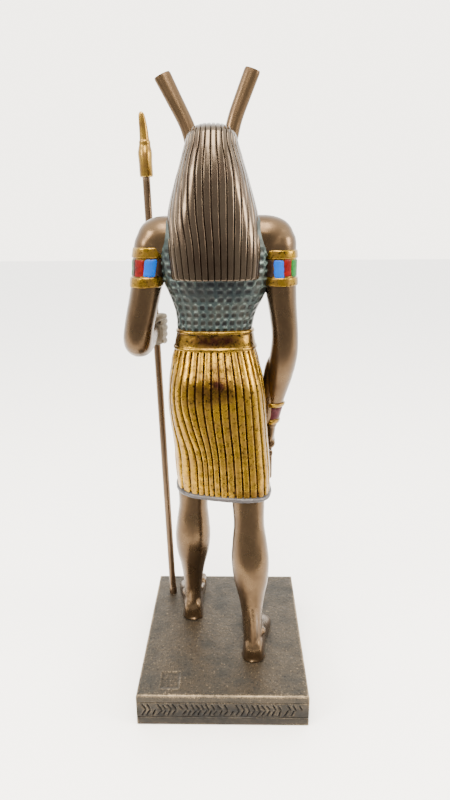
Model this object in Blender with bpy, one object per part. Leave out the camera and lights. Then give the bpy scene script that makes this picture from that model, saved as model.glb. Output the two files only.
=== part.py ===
"""Cold-cast figurine of the Egyptian god Seth, standing on a plinth with a was sceptre.

Run with: blender --background --python part.py

Three castings: the plinth, the figure (body, wig, kilt, ankh and all, one casting) and the sceptre,
which passes through the left fist and stands in a socket in the plinth.
The figure faces -Y, its left hand is on +X, +Z is up and the origin is under the plinth's middle.
"""

import math

import bpy
from mathutils import Matrix, Vector

# Driving sizes, in metres
PLINTH_WIDTH = 0.084
PLINTH_DEPTH = 0.101
PLINTH_HEIGHT = 0.0176
PLINTH_EDGE = 0.0008
PANEL_BOTTOM = 0.0048
PANEL_TOP = 0.0134
PANEL_SINK = 0.00015
LINE_WIDTH = 0.00045
LINE_DEPTH = 0.0006
FIGURE_HEIGHT = 0.2814
SHAFT_RADIUS = 0.0019
FERRULE_RADIUS = 0.0022
FERRULE_LENGTH = 0.0040
SOCKET_DEPTH = 0.0025
SCEPTRE_FOOT = (0.0320, -0.0329)
SCEPTRE_LENGTH = 0.2713
SCEPTRE_HEAD = 0.0293
GRIP_HOLE = 0.040
SEAT_GAP = 0.0003
STAMP_SIZE = (0.0094, 0.0113)
STAMP_MIDDLE = (0.0262, 0.0402)
STAMP_DEPTH = 0.0003

# Counts of what repeats
BACK_PLEATS = 17
FRONT_PLEATS = 10
WIG_STRIPES = 18
LAPPET_STRIPES = 4
BODY_SIDES = 24
FINGERS = 4
LIMB_SIDES = 12

# The heights the tables below are drawn at: a unit is a millimetre while the driving sizes stay as they are
DRAWN_HEIGHT, DRAWN_HEAD = 281.4, 29.3
UNIT = FIGURE_HEIGHT / DRAWN_HEIGHT
HEAD_UNIT = SCEPTRE_HEAD / DRAWN_HEAD
AXIS_X = 3.4

# Sections of the trunk: height, middle, half width, front, back
TORSO = [
    (164.0, 3.6, 18.0, -10.5, 11.0),
    (170.0, 3.5, 17.8, -10.5, 10.6),
    (178.0, 2.9, 19.0, -11.5, 11.4),
    (186.0, 2.2, 22.3, -12.5, 13.0),
    (194.0, 2.6, 25.2, -13.5, 14.3),
    (204.0, 3.0, 26.6, -14.0, 15.0),
    (213.0, 3.4, 26.0, -12.0, 14.5),
    (219.0, 3.4, 23.0, -8.5, 12.0),
    (222.8, 3.4, 16.0, -5.0, 8.0),
]
# Sections of the kilt: height, middle, half width, front, back, squareness
KILT = [
    (160.6, 3.4, 19.4, -11.9, 12.7, 2.3),
    (152.5, 3.2, 21.5, -13.4, 15.9, 2.3),
    (145.0, 3.0, 22.9, -14.8, 18.6, 2.4),
    (135.0, 2.8, 23.8, -16.0, 19.6, 2.5),
    (124.0, 2.1, 23.9, -17.0, 19.2, 2.7),
    (112.0, 1.0, 23.9, -18.6, 18.4, 2.8),
    (100.0, 0.4, 24.1, -20.0, 17.5, 3.0),
    (88.0, 0.0, 23.7, -21.5, 16.6, 3.2),
]
HEM = [
    (88.6, 0.0, 23.4, -21.2, 16.2, 3.2),
    (87.4, 0.0, 24.3, -22.0, 17.2, 3.2),
    (86.0, 0.0, 23.8, -21.6, 16.7, 3.2),
]
BELT = [
    (160.3, 3.3, 19.9, -12.3, 12.9),
    (161.9, 3.3, 19.9, -12.3, 12.9),
    (162.4, 3.3, 19.5, -11.9, 12.5),
    (168.2, 3.3, 18.3, -11.2, 11.6),
    (168.6, 3.3, 18.6, -11.5, 11.8),
    (169.8, 3.3, 18.5, -11.4, 11.7),
]
# The wig below the ears: height, middle, half width, chord inside the head, back
HOOD = [
    (193.8, 2.7, 19.0, 9.0, 18.2),
    (196.4, 2.7, 20.0, 8.4, 18.8),
    (209.0, 3.1, 21.0, 6.5, 17.9),
    (221.5, 3.8, 20.3, 1.0, 17.0),
    (235.5, 4.0, 16.9, -4.0, 16.3),
    (243.5, 4.0, 14.3, -4.0, 15.4),
    (250.0, 4.0, 12.2, -1.0, 13.9),
]
# The crown turns about a line between the ears: degrees above level, half width, reach, chord
CROWN_PIVOT = (3.9, -2.5, 250.0)
CROWN = [
    (26.0, 11.6, 14.5, 1.5),
    (52.0, 11.3, 11.4, 1.5),
    (78.0, 11.0, 9.0, 1.5),
    (106.0, 10.7, 8.4, 1.5),
    (138.0, 10.2, 9.8, 1.5),
]

# Sections of the limbs: middle point, half width across, half depth
SHOULDER_LEFT = [
    ((8.0, 1.0, 211.0), 7.0, 7.0),
    ((19.0, 1.0, 212.2), 8.6, 8.8),
    ((27.0, 1.0, 211.6), 9.0, 9.5),
    ((32.4, 1.0, 210.9), 7.8, 8.2),
    ((36.2, 1.0, 209.9), 4.6, 5.2),
]
SHOULDER_RIGHT = [
    ((0.0, 1.0, 211.0), 7.0, 7.0),
    ((-12.0, 1.0, 212.2), 8.6, 8.8),
    ((-20.6, 1.0, 211.6), 9.0, 9.7),
    ((-26.4, 1.0, 210.9), 7.8, 8.6),
    ((-30.6, 1.0, 209.7), 4.8, 5.6),
]
ARM_LEFT = [
    ((31.0, 1.0, 214.0), 5.5, 5.0),
    ((31.8, 1.0, 210.0), 8.4, 7.6),
    ((32.9, 1.0, 203.0), 8.6, 7.9),
    ((34.1, 1.2, 195.0), 8.2, 7.4),
    ((36.6, 1.8, 183.0), 7.8, 7.1),
    ((39.1, 2.2, 172.0), 7.3, 7.0),
    ((40.6, -0.4, 163.0), 7.0, 7.0),
    ((39.6, -9.0, 161.0), 6.0, 6.0),
    ((38.0, -20.0, 162.8), 4.6, 4.5),
    ((37.9, -26.5, 163.4), 4.4, 3.9),
]
ARM_RIGHT = [
    ((-24.8, 1.0, 214.0), 5.5, 5.0),
    ((-25.6, 1.0, 210.0), 8.4, 7.8),
    ((-26.4, 1.0, 203.0), 8.6, 8.1),
    ((-26.8, 1.2, 195.0), 8.2, 7.8),
    ((-28.4, 2.2, 181.0), 7.6, 6.7),
    ((-29.8, 2.6, 168.0), 7.0, 6.3),
    ((-29.7, 1.4, 158.0), 6.8, 6.6),
    ((-28.2, -2.0, 147.5), 6.4, 6.6),
    ((-26.5, -6.0, 136.0), 5.3, 5.4),
    ((-25.4, -9.2, 125.5), 4.5, 4.1),
    ((-24.4, -11.4, 117.0), 5.2, 3.4),
]
KNEE_HEIGHT, ANKLE_HEIGHT = 80.0, 12.0
LEG_AXES = {"right": ((-12.9, 8.0), (-15.3, 19.4)), "left": ((16.4, -12.0), (18.3, -14.4))}
# height, half width, how far the shin and the calf stand off the leg's axis
LEG = [
    (92.0, 8.8, 9.2, 8.0),
    (80.0, 8.2, 8.6, 7.8),
    (71.0, 7.8, 7.8, 8.6),
    (62.0, 8.8, 7.5, 10.3),
    (53.0, 9.6, 7.3, 11.0),
    (43.0, 8.9, 7.1, 9.6),
    (33.0, 6.8, 6.5, 7.2),
    (24.0, 5.6, 6.0, 5.7),
    (14.0, 5.3, 6.2, 5.6),
    (6.0, 5.2, 7.0, 6.4),
]
HEELS = {"right": ((-15.4, 27.0), -3.5), "left": ((18.0, -6.8), 2.5)}
# how far forward of the heel's back, half width, height, how far it swings to the little toe
FOOT = [
    (0.0, 3.2, 6.0, 0.0),
    (1.4, 4.9, 10.0, 0.0),
    (6.0, 5.7, 13.5, 0.0),
    (13.0, 5.6, 14.5, 0.2),
    (20.0, 6.2, 11.0, 0.5),
    (27.0, 7.7, 7.0, 0.8),
    (33.0, 8.2, 4.8, 0.7),
    (35.4, 7.4, 2.8, 0.5),
]
# toes from the big one outwards: sideways place, radius, how far forward of the heel's back
TOES = [(-5.4, 2.3, 40.5), (-1.7, 1.7, 40.0), (1.5, 1.6, 38.6), (4.4, 1.5, 37.0), (7.0, 1.4, 35.2)]

# The animal's head, from inside the wig to the nose: middle point, half width, half height
MUZZLE = [
    ((3.6, 2.0, 243.0), 9.0, 10.5),
    ((3.6, -8.0, 243.5), 9.6, 10.8),
    ((3.6, -14.0, 242.5), 7.6, 8.8),
    ((3.6, -20.0, 240.6), 5.0, 6.0),
    ((3.6, -27.0, 237.4), 3.8, 4.4),
    ((3.6, -33.5, 232.6), 3.4, 3.6),
    ((3.6, -37.0, 228.6), 2.8, 2.6),
]
# Ears from root to square tip: middle point, half width across, half thickness
EAR_LEFT = [
    ((12.4, -3.0, 250.5), 3.5, 3.2),
    ((14.9, -3.0, 259.0), 3.3, 2.9),
    ((20.5, -3.0, 270.0), 3.5, 2.6),
    ((25.2, -3.0, 279.0), 3.8, 2.3),
]
EAR_RIGHT = [
    ((-3.6, -3.0, 250.5), 3.4, 3.2),
    ((-6.1, -3.0, 261.0), 3.3, 2.9),
    ((-9.7, -3.0, 270.5), 3.4, 2.6),
    ((-13.9, -3.0, 280.8), 3.5, 2.3),
]
GRIP_HEIGHT = 163.5
ANKH_X, ANKH_Y = -23.6, -12.6
# The sceptre's head above its base: height, radius across, radius fore and aft, shift back, shift to the left
SCEPTRE_CREST = [
    (0.3, 3.0, 3.1, 0.0, -0.2),
    (1.4, 3.3, 3.4, 0.0, -0.2),
    (7.0, 3.3, 3.8, 0.0, -0.2),
    (11.2, 3.5, 3.6, 0.0, -0.2),
    (14.2, 2.9, 2.7, 0.1, -0.3),
    (15.4, 2.8, 2.6, 0.2, -0.4),
    (16.4, 2.8, 2.6, 0.2, -0.4),
    (17.0, 2.4, 2.2, 0.3, -0.4),
    (22.0, 2.1, 1.8, 0.8, -0.3),
    (25.6, 1.8, 1.5, 1.4, -0.1),
    (28.2, 1.4, 1.1, 1.8, 0.1),
    (29.3, 0.5, 0.5, 2.0, 0.2),
]
# Its snout: middle point from the brow, half width, half height
SCEPTRE_SNOUT = [
    ((0.0, 0.0, 1.0), 2.8, 3.4),
    ((0.0, -5.2, 0.2), 2.3, 2.5),
    ((0.0, -9.4, -3.2), 1.6, 1.7),
    ((0.0, -11.5, -6.6), 1.2, 1.2),
]


def smooth(stations, steps):
    """Stations with `steps` intervals between each pair, on a Catmull-Rom curve through them."""
    flat = [[c for part in s for c in (part if isinstance(part, tuple) else (part,))] for s in stations]
    rows = []
    for i in range(len(flat) - 1):
        before, start = flat[max(i - 1, 0)], flat[i]
        end, after = flat[i + 1], flat[min(i + 2, len(flat) - 1)]
        for k in range(steps):
            t = k / steps
            row = []
            for a, b, c, d in zip(before, start, end, after):
                square, cube = 2 * a - 5 * b + 4 * c - d, 3 * b - a - 3 * c + d
                row.append(b + 0.5 * ((c - a) * t + square * t**2 + cube * t**3))
            rows.append(row)
    return rows + [flat[-1]]


def signed_power(value, power):
    return math.copysign(abs(value) ** power, value)


def oval(angle, half_width, front, back, power=2.3):
    """A point of an oval section: angle 0 is the figure's left and a quarter turn is its back."""
    x = half_width * signed_power(math.cos(angle), 2 / power)
    y = (front + back) / 2 + (back - front) / 2 * signed_power(math.sin(angle), 2 / power)
    return Vector((x, y))


def even_angles(count, half_width, front, back, power):
    """Angles that part an oval's outline into `count` equal lengths."""
    fine = 240
    turn = [2 * math.pi * i / fine for i in range(fine + 1)]
    points = [oval(a, half_width, front, back, power) for a in turn]
    run = [0.0]
    for i in range(fine):
        run.append(run[-1] + (points[i + 1] - points[i]).length)
    angles, i = [], 0
    for k in range(count):
        target = run[-1] * k / count
        while run[i + 1] < target:
            i += 1
        angles.append(turn[i] + (turn[i + 1] - turn[i]) * (target - run[i]) / (run[i + 1] - run[i]))
    return angles


def fluted(count, groove_share, depth, start=0.0, end=1.0):
    """For each flute between two shares of an outline, its groove and its two shoulders: (share, depth)."""
    marks = []
    for k in range(count):
        for share, deep in ((0.0, depth), (groove_share, 0.0), (1 - groove_share, 0.0)):
            marks.append((start + (end - start) * (k + share) / count, deep))
    return marks


def plain(count=BODY_SIDES):
    return [(k / count, 0.0) for k in range(count)]


def add_mesh(name, points, faces, scale=UNIT, lift=None):
    """A mesh object from points in figure units, standing on the plinth."""
    lift = PLINTH_HEIGHT + SEAT_GAP if lift is None else lift
    mesh = bpy.data.meshes.new(name)
    mesh.from_pydata([Vector(p) * scale + Vector((0, 0, lift)) for p in points], [], faces)
    mesh.validate()
    obj = bpy.data.objects.new(name, mesh)
    bpy.context.scene.collection.objects.link(obj)
    return obj


def loft(name, rings, **where):
    """A closed solid through flat rings of equally many points."""
    count = len(rings[0])
    points = [p for ring in rings for p in ring]
    faces = []
    for i in range(len(rings) - 1):
        for k in range(count):
            a, b = i * count + k, i * count + (k + 1) % count
            faces.append((a, b, b + count, a + count))
    last = (len(rings) - 1) * count
    faces.append(tuple(reversed(range(count))))
    faces.append(tuple(range(last, last + count)))
    obj = add_mesh(name, points, faces, **where)
    face_outwards(obj)
    return obj


def face_outwards(obj):
    """Turns the faces of a closed mesh round if its volume comes out negative."""
    mesh = obj.data
    mesh.calc_loop_triangles()
    volume = 0.0
    for tri in mesh.loop_triangles:
        a, b, c = (mesh.vertices[i].co for i in tri.vertices)
        volume += a.dot(b.cross(c))
    if volume < 0:
        mesh.flip_normals()


def trunk(name, sections, steps, marks, skew=None, twist=None):
    """A solid of horizontal oval sections. marks are (share of the turn, groove depth);
    skew and twist give each height its sideways shear and its turn at each share."""
    rings = []
    for z, middle, half_width, front, back, *square in smooth(sections, steps):
        power = square[0] if square else 2.3
        angles = even_angles(len(marks) * 4, half_width, front, back, power)
        ring = []
        for share, depth in marks:
            turned = share + (twist(z, share) if twist else 0.0)
            place = (turned % 1.0) * len(angles)
            low = int(place)
            high = angles[low + 1] if low + 1 < len(angles) else 2 * math.pi
            p = oval(angles[low] + (high - angles[low]) * (place - low), half_width, front, back, power)
            heart = Vector((0, (front + back) / 2))
            p -= (p - heart).normalized() * depth
            shear = skew(z) * p.x / half_width if skew else 0.0
            ring.append((middle + p.x, p.y - shear, z))
        rings.append(ring)
    return loft(name, rings)


def tube(name, stations, sides=LIMB_SIDES, across=(0, 1, 0), steps=1):
    """A limb: oval rings square to the line through the stations. The first radius lies along
    `across`, carried round the limb's bends, and the second one square to it."""
    rows = smooth(stations, steps)
    centres = [Vector(r[:3]) for r in rows]
    side = Vector(across)
    rings = []
    for i, row in enumerate(rows):
        along = (centres[min(i + 1, len(rows) - 1)] - centres[max(i - 1, 0)]).normalized()
        side = (side - along * side.dot(along)).normalized()
        other = along.cross(side)
        rings.append([
            centres[i]
            + side * row[3] * math.cos(2 * math.pi * k / sides)
            + other * row[4] * math.sin(2 * math.pi * k / sides)
            for k in range(sides)
        ])
    return loft(name, rings)


def wig():
    """The wig's back: striped arches from its lower edge up the back and over the crown to the brow,
    each closed by a chord inside the head."""
    rings = []
    for z, middle, half_width, chord, back in HOOD:
        rings.append([
            (middle + x, chord + reach, z) for x, reach in striped_arch(half_width, back - chord, 2.6)
        ])
    pivot = Vector(CROWN_PIVOT)
    for lift, half_width, reach, chord in CROWN:
        out = Vector((0, math.cos(math.radians(lift)), math.sin(math.radians(lift))))
        rings.append([
            pivot + Vector((x, 0, 0)) + out * (chord + r)
            for x, r in striped_arch(half_width, reach - chord, 2.5)
        ])
    return loft("wig", rings)


def striped_arch(half_width, reach, power, depth=0.75, groove_share=0.2):
    """Half an oval from its left end to its right one, with a groove between neighbouring stripes."""
    fine = 180
    line = []
    for i in range(fine + 1):
        t = math.pi * i / fine
        line.append(Vector((
            half_width * signed_power(math.cos(t), 2 / power),
            reach * abs(math.sin(t)) ** (2 / power),
        )))
    run = [0.0]
    for a, b in zip(line, line[1:]):
        run.append(run[-1] + (b - a).length)
    marks = fluted(WIG_STRIPES, groove_share, depth)
    marks = [(0.0, 0.0), *marks[1:], (1.0, 0.0)]
    points, i = [], 0
    for share, sink in marks:
        target = run[-1] * share
        while i < fine - 1 and run[i + 1] < target:
            i += 1
        along = line[i + 1] - line[i]
        p = line[i] + along * (target - run[i]) / (run[i + 1] - run[i])
        inward = Vector((-along.y, along.x)).normalized()
        points.append(p + inward * sink * min(1.0, 0.35 + p.y / reach))
    return points


def curl(name, centre, radius, thickness, start, end, flat_axes, steps=5, sides=6):
    """A finger bent round an arc: flat_axes are the two directions of the arc's plane."""
    u, v = (Vector(a) for a in flat_axes)
    stations = []
    for i in range(steps + 1):
        t = math.radians(start + (end - start) * i / steps)
        p = Vector(centre) + (u * math.cos(t) + v * math.sin(t)) * radius
        tip = 0.62 if i in (0, steps) else 1.0
        stations.append((tuple(p), thickness * tip, thickness * tip))
    return tube(name, stations, sides=sides, across=tuple(u.cross(v)), steps=1)


def sceptre_line(height):
    """The sceptre's middle at a height above the floor: it leans from its socket to the left fist."""
    foot = Vector((*SCEPTRE_FOOT, PLINTH_HEIGHT))
    grip = Vector((35.8, -30.9, GRIP_HEIGHT)) * UNIT + Vector((0, 0, PLINTH_HEIGHT))
    return foot + (grip - foot) * (height - foot.z) / (grip.z - foot.z)


def leg_parts(side):
    """Leg and foot of one side, with its toes."""
    knee, ankle = LEG_AXES[side]
    rings = []
    for z, half_width, shin, calf in smooth(LEG, 1):
        share = (KNEE_HEIGHT - z) / (KNEE_HEIGHT - ANKLE_HEIGHT)
        x = knee[0] + (ankle[0] - knee[0]) * share
        y = knee[1] + (ankle[1] - knee[1]) * share
        ring = []
        for k in range(LIMB_SIDES):
            p = oval(2 * math.pi * k / LIMB_SIDES, half_width, -shin, calf, power=2.1)
            ring.append((x + p.x, y + p.y, z))
        rings.append(ring)
    return [loft(f"leg_{side}", rings), *foot_parts(side)]


def foot_parts(side):
    """A bare foot with a flat sole, laid along its own line."""
    (heel_x, heel_y), toe_out = HEELS[side]
    outward = -1 if side == "right" else 1
    turn = Matrix.Rotation(math.radians(toe_out), 3, "Z")
    heel = Vector((heel_x, heel_y, 0))
    arch = 8

    def place(forward, sideways, up):
        return heel + turn @ Vector((outward * sideways, -forward, 0)) + Vector((0, 0, up))

    rings = []
    for forward, half_width, height, swing in FOOT:
        ring = []
        for k in range(arch + 1):
            t = math.pi * k / arch
            sideways = swing + half_width * signed_power(math.cos(t), 0.75)
            ring.append(place(forward, sideways, height * math.sin(t) ** 0.8))
        rings.append(ring)
    parts = [loft(f"foot_{side}", rings)]
    for n, (sideways, radius, reach) in enumerate(TOES):
        stations = [
            (tuple(place(reach - 9.0, sideways, radius * 1.5)), radius * 0.9, radius * 0.9),
            (tuple(place(reach - 3.0, sideways, radius * 1.15)), radius, radius),
            (tuple(place(reach - 0.8, sideways, radius * 1.02)), radius * 0.85, radius * 0.85),
            (tuple(place(reach, sideways, radius * 1.02)), radius * 0.4, radius * 0.4),
        ]
        parts.append(tube(f"toe_{side}_{n}", stations, sides=6, steps=1))
    return parts


def left_fist():
    """Four fingers round the sceptre, the back of the hand outside them and the thumb over them."""
    middle = (sceptre_line(PLINTH_HEIGHT + GRIP_HEIGHT * UNIT) - Vector((0, 0, PLINTH_HEIGHT))) / UNIT
    radius, thickness = SHAFT_RADIUS / UNIT + 1.7, 1.95

    def near(x, y, z):
        return tuple(middle + Vector((x, y, z)))

    palm = [
        (near(1.6, 5.0, 0.4), 3.2, 4.6),
        (near(3.2, 1.8, 0.0), 3.1, 7.0),
        (near(3.6, -1.8, -0.6), 2.7, 7.4),
        (near(3.2, -4.6, -0.8), 1.6, 6.4),
    ]
    thumb = [
        (near(3.4, 4.4, 2.6), 2.4, 2.4),
        (near(0.4, 4.4, 5.6), 2.2, 2.2),
        (near(-3.0, 3.2, 7.2), 2.0, 2.0),
        (near(-5.8, 1.4, 7.2), 1.3, 1.3),
    ]
    parts = [
        tube("palm_left", palm, sides=10, across=(1, 0, 0)),
        tube("thumb_left", thumb, sides=8, across=(0, 0, 1)),
    ]
    for n in range(FINGERS):
        arc = ((1, 0, 0), (0, -1, 0))
        centre = middle + Vector((0, 0, (n - 1.5) * 3.5 - 0.9))
        girth = thickness - 0.12 * abs(n - 1.8)
        root, tip = -13 + 4 * n, 218 + 6 * n
        parts.append(curl(f"finger_left_{n}", centre, radius + 0.11 * n, girth, root, tip, arc))
    return parts


def right_fist():
    """The fist at the thigh, fingers curled inwards round the ankh's loop, and the web of the casting
    that joins the forearm to the kilt."""
    x, y, z = ANKH_X, ANKH_Y, 112.5
    palm = [
        ((x - 0.6, y + 1.6, z + 7.0), 3.3, 4.6),
        ((x - 0.8, y + 0.4, z + 1.0), 2.7, 6.2),
        ((x - 0.6, y, z - 4.0), 2.2, 6.0),
    ]
    thumb = [
        ((x - 0.2, y - 3.6, z + 6.2), 2.0, 2.0),
        ((x + 0.8, y - 6.4, z + 2.4), 1.9, 1.9),
        ((x + 1.4, y - 7.2, z - 1.6), 1.2, 1.2),
    ]
    web = [
        ((-25.2, 0.0, 156.0), 2.2, 2.6),
        ((-24.8, -2.0, 149.5), 4.2, 4.2),
        ((-23.6, -6.0, 136.0), 4.4, 4.4),
        ((-22.0, -9.0, 120.0), 3.2, 4.0),
    ]
    parts = [
        tube("palm_right", palm, sides=10, across=(1, 0, 0)),
        tube("thumb_right", thumb, sides=8, across=(1, 0, 0)),
        tube("web_right", web, sides=8, across=(1, 0, 0)),
    ]
    for n in range(FINGERS):
        arc = ((-1, 0, 0), (0, 0, -1))
        centre = (x + 0.6, y + (n - 1.5) * 3.1, z - 3.0 - 0.37 * abs(n - 1.2))
        bend, girth = 2.6 + 0.07 * n, 1.85 - 0.06 * n
        root, tip = -23 + 5 * n, 196 + 4 * n
        parts.append(curl(f"finger_right_{n}", centre, bend, girth, root, tip, arc))
    return parts


def ankh():
    """The ankh hanging from the right fist, on edge: loop, crossbar and shaft, cast with the hand."""
    x, y = ANKH_X - 1.0, ANKH_Y
    loop = []
    for k in range(11):
        t = math.radians(14 + 332 * k / 10)
        loop.append(((x, y + 4.2 * math.sin(t), 109.6 - 6.4 * math.cos(t)), 1.0, 1.2))
    bar = [((x, y + reach, 102.6), 1.15, girth) for reach, girth in ((-6.4, 1.9), (0.0, 1.3), (6.4, 1.9))]
    shaft = [((x, y, height), 1.25, girth) for height, girth in ((104.4, 1.3), (95.0, 1.4), (86.5, 2.2))]
    return [
        tube("ankh_loop", loop, sides=6, across=(1, 0, 0)),
        tube("ankh_bar", bar, sides=6, across=(1, 0, 0)),
        tube("ankh_shaft", shaft, sides=6, across=(1, 0, 0)),
    ]


def band(name, stations, low, high, rim, field, rim_share, sides=14):
    """A band cast round a limb between two heights: a rim at each edge and a lower field between."""
    rows = smooth(stations, 24)
    # share of the way up the band, how far it stands off the limb
    profile = [
        (0.0, -0.6),
        (0.0, rim),
        (rim_share - 0.06, rim),
        (rim_share, field),
        (1 - rim_share, field),
        (1.06 - rim_share, rim),
        (1.0, rim),
        (1.0, -0.6),
    ]
    rings = []
    for share, proud in profile:
        z = low + (high - low) * share
        row = min(rows, key=lambda r: abs(r[2] - z))
        rings.append([
            (
                row[0] + (row[4] + proud) * math.sin(2 * math.pi * k / sides),
                row[1] + (row[3] + proud) * math.cos(2 * math.pi * k / sides),
                z,
            )
            for k in range(sides)
        ])
    return loft(name, rings)


def ornaments():
    """The armlets round both upper arms and the bracelet on the right wrist."""
    return [
        band("armlet_left", ARM_LEFT[1:5], 189.7, 207.6, 0.6, 0.1, 0.27),
        band("armlet_right", ARM_RIGHT[1:5], 190.2, 206.2, 0.6, 0.1, 0.25),
        band("bracelet_right", ARM_RIGHT[7:], 118.7, 130.6, 0.9, 0.4, 0.26),
    ]


def ears():
    """Two tall square-ended ears, hollowed in front."""
    made = []
    for side, stations in (("left", EAR_LEFT), ("right", EAR_RIGHT)):
        rows = smooth(stations, 1)
        rings = []
        for row in rows:
            centre = Vector(row[:3])
            along = (Vector(rows[-1][:3]) - Vector(rows[0][:3])).normalized()
            across = Vector((0, -1, 0)).cross(along).normalized()
            ring = []
            for k in range(16):
                t = 2 * math.pi * k / 16
                depth = row[4] * math.sin(t)
                if math.sin(t) < -0.3:
                    hollow = 1 - (math.cos(t) / 0.955) ** 2
                    depth += row[4] * 1.25 * max(hollow, 0.0)
                ring.append(centre + across * row[3] * math.cos(t) + Vector((0, depth, 0)))
            rings.append(ring)
        made.append(loft(f"ear_{side}", rings))
    return made


def lappet(side):
    """A striped fall of the wig over the front of one shoulder."""
    sign = 1 if side == "left" else -1
    stations = [
        ((AXIS_X + sign * 9.5, -1.0, 236.0), 4.0, 5.0),
        ((AXIS_X + sign * 12.6, -6.0, 226.0), 5.0, 4.2),
        ((AXIS_X + sign * 13.8, -11.2, 214.0), 5.4, 3.0),
        ((AXIS_X + sign * 13.6, -14.0, 202.0), 5.2, 2.4),
        ((AXIS_X + sign * 13.2, -14.0, 194.0), 5.0, 2.3),
    ]
    rows = smooth(stations, 1)
    centres = [Vector(r[:3]) for r in rows]
    rings = []
    for i, row in enumerate(rows):
        along = (centres[min(i + 1, len(rows) - 1)] - centres[max(i - 1, 0)]).normalized()
        out = along.cross(Vector((1, 0, 0))).normalized()
        ring = []
        front = LAPPET_STRIPES * 2
        for k in range(front + 1):
            across = 1 - 2 * k / front
            rise = row[4] * (1 - 0.45 * across**2) - (0.55 if k % 2 == 0 else 0.0)
            ring.append(centres[i] + Vector((row[3] * across, 0, 0)) - out * rise)
        ring.append(centres[i] + Vector((-row[3] * 0.9, 0, 0)) + out * row[4])
        ring.append(centres[i] + Vector((row[3] * 0.9, 0, 0)) + out * row[4])
        rings.append(ring)
    return loft(f"lappet_{side}", rings)


def collar(reach=19.5, proud=0.9, columns=15):
    """The broad collar: a raised half disc that follows the chest round the neck."""
    rings = []
    for k in range(columns):
        t = math.radians(14 + 152 * k / (columns - 1))
        x = reach * math.cos(t)
        low = 220.0 - reach * math.sin(t)
        high = 220.5 - 0.012 * x * x
        heights = (high, (high + low) / 2, low)
        ring = [(AXIS_X + x, chest_front(x, z) - proud, z) for z in heights]
        ring += [(AXIS_X + x, chest_front(x, z) + 3.0, z) for z in (low, high)]
        rings.append(ring)
    return loft("collar", rings)


def chest_front(x, z):
    """How far forward the chest lies, seen from the front, x from the body's middle."""
    rows = smooth(TORSO, 6)
    low = max((r for r in rows if r[0] <= z), key=lambda r: r[0])
    high = min((r for r in rows if r[0] >= z), key=lambda r: r[0])
    share = (z - low[0]) / (high[0] - low[0]) if high[0] > low[0] else 0.0
    half_width, front, back = (low[i] + (high[i] - low[i]) * share for i in (2, 3, 4))
    bulge = max(1 - abs(x / half_width) ** 2.3, 0.0) ** (1 / 2.3)
    return (front + back) / 2 - (back - front) / 2 * bulge


def apron():
    """The stiff panel that hangs from the belt down the middle of the kilt's front."""
    rings = []
    for z, half_width in ((168.6, 3.4), (157.0, 3.8), (150.0, 4.2), (120.0, 5.4), (91.0, 6.4), (88.8, 6.2)):
        row = min(smooth([r[:5] for r in KILT], 12) if z < 157 else BELT, key=lambda r: abs(r[0] - z))
        ring = []
        for x, y in ((-1, 4.0), (-1, -0.9), (-0.84, -1.7), (0.84, -1.7), (1, -0.9), (1, 4.0)):
            ring.append((row[1] + 1.2 + x * half_width, row[3] + y, z))
        rings.append(ring)
    return loft("apron", rings)


def kilt_skew(z):
    """The striding legs shear the kilt: its left goes forward and its right goes back."""
    return 4.6 * min(max((150.0 - z) / 66.0, 0.0), 1.0)


def kilt_twist(z, share):
    """The pleats sweep towards the back of the right leg below the seat, most on the left side."""
    fall = min(max((143.0 - z) / 40.0, 0.0), 1.0)
    fall = fall * fall * (3 - 2 * fall)
    left = (share - 0.10 + 0.5) % 1.0 - 0.5
    right = share - 0.38
    return fall * (0.050 * math.exp(-((left / 0.10) ** 2)) - 0.010 * math.exp(-((right / 0.06) ** 2)))


def figure_parts():
    """Every lump of the figure, before they are fused into its one casting."""
    pleats = fluted(BACK_PLEATS, 0.17, 0.9, 0.0, 0.5) + fluted(FRONT_PLEATS, 0.12, 0.9, 0.5, 1.0)
    parts = [
        trunk("kilt", KILT, 1, pleats, kilt_skew, kilt_twist),
        trunk("hem", HEM, 1, plain(32), kilt_skew),
        trunk("belt", BELT, 1, plain()),
        wig(),
        tube("neck", [((3.6, -1.0, 214.0), 8.0, 7.5), ((3.6, -3.0, 238.0), 7.6, 7.5)]),
        tube("muzzle", MUZZLE, sides=12, across=(1, 0, 0)),
        tube("shoulder_left", SHOULDER_LEFT),
        tube("shoulder_right", SHOULDER_RIGHT),
        tube("arm_left", ARM_LEFT),
        tube("arm_right", ARM_RIGHT),
        collar(),
        apron(),
    ]
    for side in ("left", "right"):
        parts += [*leg_parts(side), lappet(side)]
    return parts + ears() + ornaments() + left_fist() + right_fist() + ankh()


def helper(obj):
    """Keeps an object that only cuts or joins out of the model."""
    obj.hide_render = True
    obj.display_type = "WIRE"
    return obj


def boolean(target, other, operation):
    modifier = target.modifiers.new(f"{operation.lower()} {other.name}", "BOOLEAN")
    modifier.operation = operation
    modifier.solver = "EXACT"
    modifier.object = other


def rod(name, start, end, radius, sides=20):
    """A straight round cutter or shaft between two points, in metres."""
    along = (end - start).normalized()
    side = along.cross(Vector((0, 1, 0))).normalized()
    other = along.cross(side)
    turn = [2 * math.pi * k / sides for k in range(sides)]
    rings = [[p + (side * math.cos(t) + other * math.sin(t)) * radius for t in turn] for p in (start, end)]
    return loft(name, rings, scale=1.0, lift=0.0)


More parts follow.
